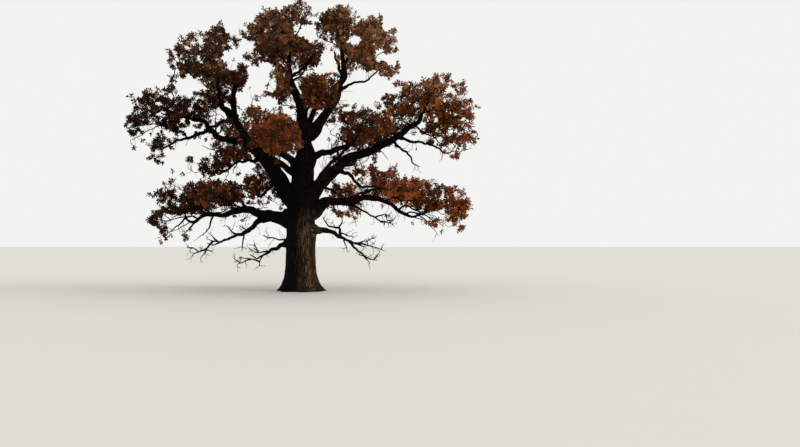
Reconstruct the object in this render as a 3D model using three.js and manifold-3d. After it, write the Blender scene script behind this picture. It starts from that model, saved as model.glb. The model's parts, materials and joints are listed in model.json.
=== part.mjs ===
// A free-standing oak in late autumn: a trunk, its boughs, and the masses of russet leaves that they carry.
// Millimetres, +Z up. The origin lies on the ground, in the middle of the trunk's flat cut. +X runs to the
// right across the tree's front, and +Y runs through the tree to its back.

import * as THREE from "three";
import { mergeVertices } from "three/addons/utils/BufferGeometryUtils.js";
import Module from "manifold-3d";

const wasm = await Module();
wasm.setup();

const DEGREE = Math.PI / 180;
const UP = new THREE.Vector3(0, 0, 1);

// The trunk, from its flat cut at ground level to the domed fork that the leaders rise from.
const TRUNK = {
  height: 5200,
  waist: 710, // radius above the flare
  flare: 400, // how much wider it is at the ground
  flareHeight: 430, // the flare dies away over this height
  shoulder: 4600, // the dome begins here
  lean: -75, // the axis stands this far to the left of the origin above the flare
  roots: [8, 62, 118, 171, 226, 282, 331], // headings of the root ridges
  rootHalf: 28, // degrees from a ridge to the hollow beside it
  rootDepth: 0.16, // how far the ridges stand out, as a share of the radius
  dome: 0.92, // how far the top closes in, as a share of the radius squared
  sides: 21,
  rings: 10,
};

// Clearances and the grain of the solids.
const GAP = 0.3; // between a piece and what carries it
const SMALLEST = 4; // finer detail than this is merged away where twigs and blades join
const RING_STEP = 760; // a limb has a ring about this often
const RING_POINTS = 4; // steps of its route between two rings
const LIMB_SIDES = [[230, 8], [120, 6], [0, 5]]; // the sides of a limb, by the least radius of its root
const CROOK = 7; // degrees that a limb's direction wanders by

// Each limb leaves its parent at a share of the parent's length, or at a height up the trunk. It heads off
// in plan (0 is +X, 90 is +Y) and turns by so many degrees on the way. Its pitch above level is listed at
// even steps of its length. Last come the radii of its root and tip.
const limb = (name, from, at, [heading, turn], length, pitch, [root, tip]) => ({
  name,
  from,
  at,
  heading,
  turn,
  length,
  pitch,
  root,
  tip,
});
const LIMBS = [
  limb("left_leader", "trunk", 4250, [184, -8], 7250, [46, 48, 50, 56, 61, 78, 105], [460, 105]),
  limb("centre_leader", "trunk", 4250, [182, 0], 8500, [89, 90, 90, 94, 82, 72, 76, 80, 80], [560, 80]),
  limb("right_bough", "trunk", 4020, [356, 6], 8500, [52, 46, 43, 34, 24, 24, 34, 78], [360, 95]),
  limb("right_low_bough", "trunk", 3380, [2, -6], 5850, [48, 34, 14, 12, 12, -20, -34, -20], [290, 85]),
  limb("left_low_bough", "trunk", 3580, [178, 6], 5400, [-6, -6, 20, 28, -14, -14, -6, -34], [270, 75]),
  limb("front_bough", "centre_leader", 0.15, [238, -10], 3400, [62, 46, 18, 4, 10], [240, 90]),
  limb("front_right_bough", "trunk", 4200, [318, -12], 4400, [48, 40, 30, 26], [240, 85]),
  limb("back_left_bough", "trunk", 4200, [137, -12], 5000, [44, 38, 34, 30], [270, 90]),
  limb("back_right_bough", "trunk", 4200, [44, 10], 4900, [46, 38, 32, 30], [270, 90]),
  limb("left_upper_limb", "left_leader", 0.76, [176, 8], 2900, [34, 48, 66, 80, 92, 96], [160, 72]),
  limb("left_bough", "left_leader", 0.58, [190, -14], 3700, [6, 4, 10, 38, 60, 12, -4], [185, 70]),
  limb("left_droop_limb", "left_bough", 0.57, [176, 10], 2400, [-4, -22, -24, -12, -20, -34], [85, 45]),
  limb("left_mid_limb", "left_leader", 0.43, [188, 8], 2300, [-8, -10, -10, -44, -28], [95, 50]),
  limb("left_inner_limb", "left_leader", 0.25, [150, -10], 1700, [-30, -46, -28, -10], [100, 60]),
  limb("right_stem", "centre_leader", 0.42, [6, 8], 5700, [44, 52, 50, 55, 84, 100, 92, 86], [270, 80]),
  limb("elbow_limb", "right_stem", 0.5, [352, 10], 2300, [50, 24, -4, 44, 34], [80, 45]),
  limb("right_inner_limb", "centre_leader", 0.285, [350, 8], 3400, [12, 4, 28, 18, 8], [170, 75]),
  limb("right_drop_limb", "right_bough", 0.33, [12, -10], 2400, [-36, -20, -52, -36, 0, 10], [75, 40]),
  limb("right_under_limb", "right_bough", 0.74, [4, 6], 2500, [-16, -28, 2, -10, -36, -34], [75, 40]),
  limb("left_dead_bough", "left_low_bough", 0.28, [184, -8], 2800, [-6, -38, -38, -24, -22, -28], [130, 45]),
  limb("left_bare_limb", "trunk", 2420, [184, 6], 2100, [2, -10, -36, -28], [105, 38]),
  limb("left_snag", "trunk", 2560, [198, 4], 1950, [2, 0, 2, 26], [60, 24]),
  limb("right_bare_bough", "trunk", 2780, [352, 6], 2950, [16, 24, -4, -34, -26, -14], [155, 42]),
  limb("right_dead_limb", "right_low_bough", 0.46, [346, 8], 2000, [-34, -24, -34, -28], [80, 36]),
];

// The masses. Each is fed by a stem from its limb, at the limb's tip (1) or part of the way along it, and
// fills one or more lobes. A lobe is an ellipsoid: its middle, its width, depth and height, and how many
// clumps of leaves it holds.
const lobe = (x, y, z, width, depth, height, clumps) => ({
  middle: new THREE.Vector3(x, y, z),
  half: new THREE.Vector3(width / 2, depth / 2, height / 2),
  clumps,
});
const mass = (name, from, at, lobes) => ({ name, from, at, lobes, bare: false });
const bareMass = (name, from, at, lobes) => ({ name, from, at, lobes, bare: true });
const MASSES = [
  mass("far_left_mass", "left_bough", 1, [
    lobe(-7300, -300, 8950, 4200, 3800, 2500, 11),
    lobe(-5150, 250, 9300, 2300, 2900, 1900, 4),
  ]),
  mass("left_droop_mass", "left_droop_limb", 1, [
    lobe(-7300, 200, 7100, 1900, 1900, 1600, 5),
  ]),
  mass("upper_left_mass", "left_upper_limb", 1, [
    lobe(-5150, 0, 11750, 3400, 3700, 2900, 9),
    lobe(-4150, 300, 12700, 1900, 2500, 1500, 3),
    lobe(-4400, -2600, 11000, 2500, 2400, 2000, 4),
    lobe(-6600, 300, 10400, 1400, 1900, 1300, 2),
  ]),
  mass("left_crook_mass", "left_leader", 1, [
    lobe(-3250, 0, 10950, 1400, 1700, 1400, 3),
    lobe(-4700, 2900, 11500, 2700, 2600, 2200, 5),
  ]),
  mass("left_mid_mass", "left_mid_limb", 1, [
    lobe(-4300, -200, 6650, 3100, 3200, 2100, 9),
  ]),
  mass("low_left_mass", "left_low_bough", 1, [
    lobe(-6200, 0, 4300, 3300, 3400, 2200, 8),
    lobe(-4150, 200, 4950, 2700, 3000, 1500, 6),
    lobe(-7150, 0, 3350, 1700, 2200, 1400, 3),
  ]),
  mass("left_inner_mass", "left_inner_limb", 1, [
    lobe(-2250, 900, 5300, 2200, 2000, 1500, 4),
  ]),
  mass("front_left_mass", "front_bough", 1, [
    lobe(-1650, -3500, 7650, 3300, 3200, 2200, 8),
    lobe(-300, -5500, 6950, 2800, 3000, 1900, 6),
  ]),
  mass("inner_left_mass", "back_left_bough", 0.75, [
    lobe(-1350, 800, 8250, 2400, 2400, 1900, 6),
  ]),
  mass("front_centre_mass", "centre_leader", 0.5, [
    lobe(1150, -2600, 9550, 2400, 2700, 1900, 7),
    lobe(-1100, -900, 10200, 1500, 1900, 2000, 4),
  ]),
  mass("top_left_mass", "centre_leader", 0.82, [
    lobe(-1950, -100, 12700, 2900, 2900, 3200, 10),
    lobe(-900, -2700, 12400, 2500, 2500, 2100, 4),
  ]),
  mass("top_centre_mass", "centre_leader", 1, [
    lobe(-250, 200, 13350, 2600, 2800, 3000, 9),
    lobe(450, 300, 12000, 1400, 2000, 1400, 3),
  ]),
  mass("back_top_mass", "centre_leader", 0.76, [
    lobe(-1400, 3000, 13300, 2900, 2900, 2300, 8),
  ]),
  mass("crown_right_mass", "right_stem", 1, [
    lobe(1950, 100, 13250, 2500, 2800, 2400, 8),
    lobe(3100, 3000, 12900, 2700, 2700, 2200, 5),
  ]),
  mass("right_shoulder_mass", "right_stem", 0.75, [
    lobe(3650, -100, 12450, 2700, 3000, 3000, 9),
    lobe(3300, -2700, 11700, 2400, 2500, 2000, 5),
  ]),
  mass("right_elbow_mass", "elbow_limb", 1, [
    lobe(4050, 100, 11250, 1900, 2000, 1150, 4),
  ]),
  mass("right_inner_mass", "right_inner_limb", 1, [
    lobe(3250, -400, 8150, 3100, 3200, 2200, 9),
  ]),
  mass("far_right_mass", "right_bough", 1, [
    lobe(7050, 200, 9450, 4000, 3800, 3100, 12),
    lobe(5000, -300, 9600, 2300, 2800, 2000, 5),
  ]),
  mass("right_under_mass", "right_under_limb", 1, [
    lobe(7850, 0, 7350, 2100, 2300, 1800, 6),
  ]),
  mass("low_right_mass", "right_low_bough", 1, [
    lobe(7000, 200, 4350, 3200, 3400, 2400, 9),
    lobe(5300, -200, 5150, 2800, 3100, 1500, 6),
  ]),
  mass("low_right_inner_mass", "right_drop_limb", 1, [
    lobe(3850, 100, 5800, 2200, 2300, 1600, 5),
  ]),
  mass("right_trunk_mass", "back_right_bough", 0.35, [
    lobe(1950, 1400, 4650, 2100, 1700, 2100, 5),
  ]),
  mass("front_right_mass", "front_right_bough", 1, [
    lobe(3400, -4000, 7850, 2900, 3200, 1900, 9),
  ]),
  mass("back_left_mass", "back_left_bough", 1, [
    lobe(-3300, 3900, 8000, 3500, 3400, 2500, 8),
    lobe(-1700, 6100, 8200, 3000, 2800, 2100, 5),
  ]),
  mass("back_right_mass", "back_right_bough", 1, [
    lobe(3600, 4000, 8300, 3200, 3300, 2500, 8),
    lobe(1300, 4700, 9800, 2300, 2600, 1700, 4),
  ]),
  mass("back_low_left_mass", "left_low_bough", 0.5, [
    lobe(-5200, 4100, 5150, 3100, 3100, 1800, 7),
  ]),
  mass("back_low_right_mass", "right_low_bough", 0.45, [
    lobe(5500, 4200, 5300, 3100, 3100, 1800, 7),
  ]),
  mass("front_low_left_mass", "left_low_bough", 0.62, [
    lobe(-3900, -4100, 4550, 2600, 2900, 1500, 6),
  ]),
  mass("front_low_right_mass", "right_low_bough", 0.55, [
    lobe(5100, -4100, 4750, 2600, 2900, 1400, 6),
  ]),
  bareMass("left_dead_twigs", "left_dead_bough", 1, [
    lobe(-4900, -100, 2350, 2000, 1300, 1000, 6),
  ]),
  bareMass("left_bare_twigs", "left_bare_limb", 1, [
    lobe(-2700, -250, 1780, 1450, 1000, 950, 4),
  ]),
  bareMass("right_bare_twigs", "right_bare_bough", 1, [
    lobe(3350, 0, 2150, 1900, 1300, 1300, 6),
  ]),
  bareMass("right_dead_twigs", "right_dead_limb", 1, [
    lobe(4350, -500, 3450, 1000, 800, 700, 4),
  ]),
];

// Each broad blade stands for a spray of leaves. One ends each twig, and others grow on the twig's sides.
const BLADE = {
  length: 1060,
  width: 820,
  thick: 64,
  widest: 0.45, // where it is broadest, as a share of its length
  sunk: 6, // its root lies this far behind the twig's axis
  neck: 0.1, // this share of it at the root may touch what it grows on
  roomy: 900, // blades are smaller in a mass less than this high either side of its middle
  tries: 24, // how many directions are tried for it
  stray: 0.3, // how far the first of them strays from the one wanted
  strayGrowth: 0.08, // and how much further each next one does
  bend: 65, // most degrees between a twig and the blade at its end
  spread: 90, // and between a side blade and the way that it sets out
  forward: 0.5, // how much a side blade leans along its twig
  roll: 120, // degrees that it may be turned about its length
  shares: [0.42, 0.74], // where a twig's side blades grow
};
const TWIG = {
  tip: 17, // radius of its end
  share: 0.45, // its root's radius, as a share of what carries it
  longWay: 0.4, // how much a long way round from the stem counts against a fork
  forks: [0.5, 0.8], // where the next twigs can leave it
  draw: 40, // a bare twig's point is this long
  clear: 60, // it keeps this far from other wood
  tested: [0.25, 0.5, 0.75, 1], // where along it that is tested
};
const STEM = {
  share: 0.85, // its radius, as a share of the limb's tip that it carries on from
  sideRadius: 80, // its radius where it leaves a limb's side
  taper: 0.5,
  lift: 0.35, // how much it rises as it leaves a limb's side
  bend: 0.45, // it sets out the limb's way for this share of the way to the lobe's middle
  reach: 0.8, // and ends this share of the way there
  forks: [0.45, 0.6, 0.78, 0.92], // where twigs can leave it
  sides: 4,
  rings: 3,
};
const CLUMPS = {
  candidates: 14, // tried for each clump
  shell: 0.15, // none lies in this share of the lobe's volume, at its middle
  inset: 330, // from the lobe's edge, for the blades
  least: 0.45, // but the lobe's height is never narrowed to less than this share
};
const BALL_STEP = 120; // wood is stood for by balls this far apart when clearances are tested
const SPACE_MARGIN = 0.06; // how clearly a point has to lie in its own mass's space and not its neighbour's

const BARK = new THREE.MeshStandardMaterial({ color: 0x2b241b, roughness: 0.95, metalness: 0 });
const BARE_WOOD = new THREE.MeshStandardMaterial({ color: 0x3a3226, roughness: 0.9, metalness: 0 });
const FOLIAGE = new THREE.MeshStandardMaterial({ color: 0x6e3c1e, roughness: 0.8, metalness: 0 });

// A repeatable run of numbers from 0 to 1.
function seeded(seed) {
  let state = (seed * 7919 + 104729) % 2147483647;
  return () => {
    state = (state * 16807) % 2147483647;
    return state / 2147483647;
  };
}

function headingVector(heading, pitch) {
  const run = Math.cos(pitch * DEGREE);
  const [x, y] = [Math.cos(heading * DEGREE), Math.sin(heading * DEGREE)];
  return new THREE.Vector3(run * x, run * y, Math.sin(pitch * DEGREE));
}

// The value at a share, from 0 to 1, of a list whose entries are evenly spaced.
function along(list, share) {
  const place = share * (list.length - 1);
  const i = Math.min(Math.floor(place), list.length - 2);
  return list[i] + (list[i + 1] - list[i]) * (place - i);
}

// A route through evenly spaced points, tapering from one radius to another.
class Route extends THREE.Curve {
  constructor(points, root, tip) {
    super();
    this.points = points;
    this.root = root;
    this.tip = tip;
  }
  getPoint(share, target = new THREE.Vector3()) {
    const place = Math.min(Math.max(share, 0), 1) * (this.points.length - 1);
    const i = Math.min(Math.floor(place), this.points.length - 2);
    return target.lerpVectors(this.points[i], this.points[i + 1], place - i);
  }
  getPointAt(share, target) {
    return this.getPoint(share, target);
  }
  radius(share) {
    return this.root + (this.tip - this.root) * share;
  }
}

// A limb's route walks forward in short steps, and its pitch and heading wander a little as it goes.
function limbRoute(spec, start, seed) {
  const random = seeded(seed);
  const [slow, quick, sway] = [random(), random(), random()];
  const wave = (turns, shift) => Math.sin(2 * Math.PI * (turns + shift));
  const steps = Math.max(4, Math.round(spec.length / RING_STEP)) * RING_POINTS;
  const points = [start.clone()];
  for (let i = 0; i < steps; i++) {
    const share = (i + 0.5) / steps;
    const wander = CROOK * (wave(1.6 * share, slow) + 0.6 * wave(3.7 * share, quick));
    const veer = 1.4 * CROOK * wave(1.3 * share, sway);
    const heading = spec.heading + spec.turn * share + veer;
    const direction = headingVector(heading, along(spec.pitch, share) + wander);
    points.push(points[i].clone().addScaledVector(direction, spec.length / steps));
  }
  return new Route(points, spec.root, spec.tip);
}

// A closed solid from a geometry, and the other way round.
function solidOf(geometry) {
  const bare = geometry.clone();
  bare.deleteAttribute("normal");
  bare.deleteAttribute("uv");
  const merged = mergeVertices(bare, 1e-3);
  const vertProperties = new Float32Array(merged.attributes.position.array);
  const triVerts = new Uint32Array(merged.index.array);
  return new wasm.Manifold(new wasm.Mesh({ numProp: 3, vertProperties, triVerts }));
}

function geometryOf(solid) {
  const { vertProperties, triVerts } = solid.getMesh();
  const geometry = new THREE.BufferGeometry();
  geometry.setAttribute("position", new THREE.BufferAttribute(vertProperties, 3));
  geometry.setIndex(new THREE.BufferAttribute(triVerts, 1));
  geometry.computeVertexNormals();
  return geometry;
}

// Moves every corner of a geometry that stands on the Y axis. The mover gets the corner's share of the way
// down from the top, its heading round the axis as two unit parts, and whether it lies on the axis.
function remap(geometry, mover) {
  const position = geometry.attributes.position;
  for (let i = 0; i < position.count; i++) {
    const [x, z] = [position.getX(i), position.getZ(i)];
    const out = Math.hypot(x, z);
    const central = out < 1e-6;
    const place = mover(0.5 - position.getY(i), central ? 0 : x / out, central ? 0 : z / out, central);
    position.setXYZ(i, place.x, place.y, place.z);
  }
  return geometry;
}

// A tapering tube along a route. A widened one, for cutting neighbours clear, is longer at the tip as well.
function tube(route, sides, rings, widen = 0) {
  const frames = route.computeFrenetFrames(rings, false);
  const geometry = remap(new THREE.CylinderGeometry(1, 1, 1, sides, rings), (share, across, up) => {
    const ring = Math.round(share * rings);
    const radius = route.radius(share) + widen;
    const place = route.getPoint(share);
    if (ring === rings) place.addScaledVector(frames.tangents[ring], widen);
    return place
      .addScaledVector(frames.normals[ring], across * radius)
      .addScaledVector(frames.binormals[ring], up * radius);
  });
  return outward(solidOf(geometry));
}

// Turns a solid's faces round if they point in.
function outward(solid) {
  if (solid.volume() > 0) return solid;
  const { vertProperties, triVerts } = solid.getMesh();
  for (let i = 0; i < triVerts.length; i += 3) {
    [triVerts[i], triVerts[i + 1]] = [triVerts[i + 1], triVerts[i]];
  }
  return new wasm.Manifold(new wasm.Mesh({ numProp: 3, vertProperties, triVerts }));
}

// Merges the flat facets that joining has left in splinters.
function tidied(solid) {
  return solid.asOriginal().simplify(SMALLEST).asOriginal().simplify(SMALLEST);
}

function largest(solid) {
  return solid.decompose().reduce((best, piece) => (piece.volume() > best.volume() ? piece : best));
}

// How far the trunk's surface stands from its axis at a height and a heading. Ridges run down to the roots.
function trunkRadius(height, heading) {
  const { waist, flare, flareHeight, shoulder, roots, rootHalf, rootDepth } = TRUNK;
  const low = Math.exp(-height / flareHeight);
  const nearest = Math.min(...roots.map((root) => Math.abs(((heading - root + 540) % 360) - 180)));
  const ridge = Math.cos(Math.min(nearest / rootHalf, 1) * Math.PI);
  const over = Math.max(height - shoulder, 0) / (TRUNK.height - shoulder);
  const domed = Math.sqrt(1 - TRUNK.dome * over * over);
  return (waist + flare * low) * (1 + rootDepth * ridge * Math.sqrt(low)) * domed;
}

function trunkAxis(height) {
  return new THREE.Vector3(TRUNK.lean * (1 - Math.exp(-height / TRUNK.flareHeight)), 0, height);
}

function trunkSolid(widen = 0) {
  const geometry = remap(
    new THREE.CylinderGeometry(1, 1, 1, TRUNK.sides, TRUNK.rings),
    (down, across, forward, central) => {
      const share = 1 - down;
      const height = TRUNK.height * share * share * (3 - 2 * share);
      const heading = (Math.atan2(-forward, across) / DEGREE + 360) % 360;
      const radius = central ? 0 : trunkRadius(height, heading) + widen;
      const place = trunkAxis(height).addScaledVector(UP, share > 0.999 ? widen : 0);
      return place.addScaledVector(headingVector(heading, 0), radius);
    },
  );
  return outward(solidOf(geometry));
}

function limbSides(spec) {
  return LIMB_SIDES.find(([root]) => spec.root >= root)[1];
}

// The trunk and limbs. Each limb is cut clear of the trunk and of every limb before it.
const routes = new Map();
const widened = new Map([["trunk", trunkSolid(GAP)]]);
const wood = new Map([["trunk", trunkSolid()]]);
LIMBS.forEach((spec, index) => {
  const start = spec.from === "trunk" ? trunkAxis(spec.at) : routes.get(spec.from).getPoint(spec.at);
  const route = limbRoute(spec, start, index + 1);
  const rings = (route.points.length - 1) / RING_POINTS;
  const earlier = wasm.Manifold.union([...widened.values()]);
  wood.set(spec.name, largest(tube(route, limbSides(spec), rings).subtract(earlier)));
  widened.set(spec.name, tube(route, limbSides(spec), rings, GAP));
  routes.set(spec.name, route);
});

// A mass's stem carries on from its limb's tip, or leaves its side, and bends to its first lobe's middle.
function stemRoute(spec) {
  const limbPath = routes.get(spec.from);
  const start = limbPath.getPoint(spec.at);
  const middle = spec.lobes[0].middle;
  const reach = start.distanceTo(middle);
  const fromTip = spec.at === 1;
  const sideways = middle.clone().sub(start).normalize().addScaledVector(UP, STEM.lift).normalize();
  const onward = fromTip ? limbPath.getTangent(1) : sideways;
  const bend = start.clone().addScaledVector(onward, STEM.bend * reach);
  const curve = new THREE.QuadraticBezierCurve3(start, bend, start.clone().lerp(middle, STEM.reach));
  const root = fromTip ? limbPath.tip * STEM.share : STEM.sideRadius;
  const points = curve.getSpacedPoints(STEM.rings);
  if (fromTip) points[0].addScaledVector(onward, -root);
  return new Route(points, root, STEM.taper * root);
}
const stems = new Map(MASSES.map((spec) => [spec.name, stemRoute(spec)]));

// What a twig or blade keeps clear of: the trunk, the limbs and the other masses' stems, as rows of balls.
function ballsAlong(owner, route) {
  const count = Math.ceil(route.getLength() / BALL_STEP);
  return Array.from({ length: count + 1 }, (_, i) => i / count).map((share) => {
    return { owner, centre: route.getPoint(share), radius: route.radius(share) };
  });
}
function ballsUpTrunk() {
  const count = Math.ceil(TRUNK.height / BALL_STEP);
  return Array.from({ length: count + 1 }, (_, i) => (TRUNK.height * i) / count).map((height) => {
    return { owner: "trunk", centre: trunkAxis(height), radius: trunkRadius(height, 0) };
  });
}
const limbBalls = [...routes, ...stems].flatMap(([name, route]) => ballsAlong(name, route));
const obstacles = [...ballsUpTrunk(), ...limbBalls];

function blocked(point, room, owner) {
  return obstacles.some(
    (ball) => ball.owner !== owner && ball.centre.distanceTo(point) < ball.radius + room,
  );
}

// How far out a point lies in a mass's lobes: 0 in the middle of one, 1 on its surface.
function outness(spec, point) {
  const shares = spec.lobes.map(({ middle, half }) => point.clone().sub(middle).divide(half).length());
  return Math.min(...shares);
}

function inSpace(spec, point) {
  const own = outness(spec, point);
  const nearer = (other) => other !== spec && outness(other, point) < own + SPACE_MARGIN;
  return own <= 1 && !MASSES.some(nearer);
}

// The clumps of each lobe: every one is the candidate that lies furthest from the ones before it.
function clumpPoints(spec, random) {
  const found = [];
  const inset = spec.bare ? 0 : CLUMPS.inset;
  for (const { middle, half, clumps } of spec.lobes) {
    const height = Math.max(half.z - inset, CLUMPS.least * half.z);
    const room = new THREE.Vector3(half.x - inset, half.y - inset, height);
    for (let i = 0; i < clumps; i++) {
      let best = null;
      for (let k = 0; k < CLUMPS.candidates; k++) {
        const rise = Math.asin(2 * random() - 1) / DEGREE;
        const out = Math.cbrt(CLUMPS.shell + (1 - CLUMPS.shell) * random());
        const point = headingVector(360 * random(), rise).multiplyScalar(out).multiply(room).add(middle);
        const space = Math.min(1e6, ...found.map((other) => other.distanceTo(point)));
        if ((!best || space > best.space) && inSpace(spec, point)) best = { point, space };
      }
      if (best) found.push(best.point);
    }
  }
  return found;
}

// The twigs. Each clump, nearest first, is joined to wood that is near it and not a long way round from the
// stem. A twig leaves the wood at a fork, between a half and most of the way along what carries it.
function growTwigs(spec, clumps) {
  const stem = stems.get(spec.name);
  const fork = (point, way, radius) => ({ point, way, radius });
  const forks = STEM.forks.map((share) => {
    return fork(stem.getPoint(share), share * stem.getLength(), stem.radius(share));
  });
  const root = stem.getPoint(0);
  const twigs = [];
  for (const end of [...clumps].sort((a, b) => a.distanceTo(root) - b.distanceTo(root))) {
    const cost = (from) => from.point.distanceTo(end) + TWIG.longWay * from.way;
    const from = forks.reduce((best, other) => (cost(other) < cost(best) ? other : best));
    const free = TWIG.tested.every((share) => {
      const place = from.point.clone().lerp(end, share);
      return !blocked(place, TWIG.tip + TWIG.clear, spec.name) && (share < 0.5 || inSpace(spec, place));
    });
    if (!free) continue;
    const radius = TWIG.share * from.radius;
    twigs.push({ start: from.point, end, radius });
    for (const share of TWIG.forks) {
      const way = from.way + share * from.point.distanceTo(end);
      forks.push(fork(from.point.clone().lerp(end, share), way, radius + (TWIG.tip - radius) * share));
    }
  }
  return twigs;
}

// A closed solid with three sides: from a point, through rings, to its other end's middle.
function threeSided(tip, rings, root) {
  const bands = rings.length;
  const geometry = remap(new THREE.ConeGeometry(1, 1, 3, bands), (down, across, forward, central) => {
    if (central) return down < 0.5 ? tip : root;
    const { centre, side, keel, wide, thick } = rings[Math.round(bands * down) - 1];
    return centre.clone().addScaledVector(side, across * wide).addScaledVector(keel, forward * thick);
  });
  return outward(solidOf(geometry));
}

// A blade's tip, and the ring where it is broadest. It has a keel along one side.
function bladeOf(root, direction, side, size) {
  const keel = new THREE.Vector3().crossVectors(side, direction);
  const centre = root.clone().addScaledVector(direction, BLADE.widest * BLADE.length * size);
  const broad = { centre, side, keel, wide: (BLADE.width * size) / Math.sqrt(3), thick: BLADE.thick / 1.5 };
  return { root, direction, broad, tip: root.clone().addScaledVector(direction, BLADE.length * size) };
}

// Turns a blade about until all of it lies in its mass's space, clear of any wood and of other blades.
function placeBlade(spec, root, onward, most, taken, random) {
  const size = Math.min(1, spec.lobes[0].half.z / BLADE.roomy);
  for (let k = 0; k < BLADE.tries; k++) {
    const stray = headingVector(360 * random(), Math.asin(2 * random() - 1) / DEGREE);
    const far = BLADE.stray + BLADE.strayGrowth * k;
    const direction = onward.clone().addScaledVector(stray, far).normalize();
    const level = new THREE.Vector3().crossVectors(direction, UP).normalize();
    const side = level.applyAxisAngle(direction, (random() - 0.5) * BLADE.roll * DEGREE);
    if (direction.angleTo(onward) > most * DEGREE) continue;
    const blade = bladeOf(root, direction, side, size);
    const { tip, broad } = blade;
    const edges = [-0.5, 0.5].map((part) => {
      return broad.centre.clone().addScaledVector(side, part * BLADE.width * size);
    });
    const points = [tip, broad.centre, ...edges];
    if (points.some((point) => !inSpace(spec, point) || blocked(point, TWIG.clear, spec.name))) continue;
    const near = root.clone().lerp(broad.centre, BLADE.neck);
    const probe = threeSided(tip, [broad], near);
    if (probe.intersect(taken).isEmpty()) return { ...blade, probe };
  }
  return null;
}

// A twig. It runs on into the blade at its end, or draws out to a tip.
function twigSolid({ start, end, radius }, blade) {
  const onward = end.clone().sub(start).normalize();
  const side = blade?.broad.side ?? new THREE.Vector3().crossVectors(onward, UP).normalize();
  const keel = blade?.broad.keel ?? new THREE.Vector3().crossVectors(side, onward);
  const ring = (centre, wide) => ({ centre, side, keel, wide, thick: wide });
  const shaft = [ring(end, TWIG.tip), ring(start, radius)];
  if (blade) return threeSided(blade.tip, [blade.broad, ...shaft], start);
  return threeSided(end.clone().addScaledVector(onward, TWIG.draw), shaft, start);
}

function massSolid(spec, index) {
  const random = seeded(1000 + 37 * index);
  const twigs = growTwigs(spec, clumpPoints(spec, random));
  const stem = tube(stems.get(spec.name), STEM.sides, STEM.rings);
  const pieces = [stem];
  let taken = wasm.Manifold.union([stem, ...twigs.map((twig) => twigSolid(twig))]);
  const grow = (root, onward, most) => {
    const blade = spec.bare ? null : placeBlade(spec, root, onward, most, taken, random);
    if (blade) taken = taken.add(blade.probe);
    return blade;
  };
  for (const twig of twigs) {
    const { start, end } = twig;
    const onward = end.clone().sub(start).normalize();
    pieces.push(twigSolid(twig, grow(end, onward, BLADE.bend)));
    const turn = 360 * random();
    for (const [i, share] of (spec.bare ? [] : BLADE.shares).entries()) {
      const across = new THREE.Vector3().crossVectors(onward, UP).normalize();
      const sideways = across.applyAxisAngle(onward, (turn + 180 * i) * DEGREE);
      const towards = sideways.clone().addScaledVector(onward, BLADE.forward).normalize();
      const blade = grow(start.clone().lerp(end, share), towards, BLADE.spread);
      const root = blade?.root.clone().addScaledVector(blade.direction, -BLADE.sunk);
      if (blade) pieces.push(threeSided(blade.tip, [blade.broad], root));
    }
  }
  const joined = tidied(largest(wasm.Manifold.union(pieces)));
  return largest(joined.subtract(wasm.Manifold.union([...widened.values()])));
}

// The object: the wood in one group and the crown's masses in another. A piece's own origin is at its root.
function pieceMesh(name, solid, root, material) {
  const geometry = geometryOf(solid).translate(-root.x, -root.y, -root.z);
  const mesh = new THREE.Mesh(geometry, material);
  mesh.name = name;
  mesh.position.copy(root);
  return mesh;
}

const limbs = new THREE.Group();
wood.forEach((solid, name) => {
  const root = name === "trunk" ? trunkAxis(0) : routes.get(name).getPoint(0).round();
  limbs.add(pieceMesh(name, solid, root, BARK));
});

const crown = new THREE.Group();
MASSES.forEach((spec, index) => {
  const root = stems.get(spec.name).getPoint(0).round();
  crown.add(pieceMesh(spec.name, massSolid(spec, index), root, spec.bare ? BARE_WOOD : FOLIAGE));
});

const oak = new THREE.Group();
oak.add(limbs, crown);

export default oak;
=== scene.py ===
# %% [markdown]
# # An open-grown oak in late autumn
# The real thing is one rigid plant: a short thick trunk, crooked boughs, and a crown of dry russet
# leaves that has thinned enough to let the sky through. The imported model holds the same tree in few
# faces. This lesson grows the fine tree around it, in metres and in the model's own frame, so that
# every piece already lies where it belongs.
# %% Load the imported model
import json
import math

import bpy
import numpy as np
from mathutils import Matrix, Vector, noise

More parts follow.
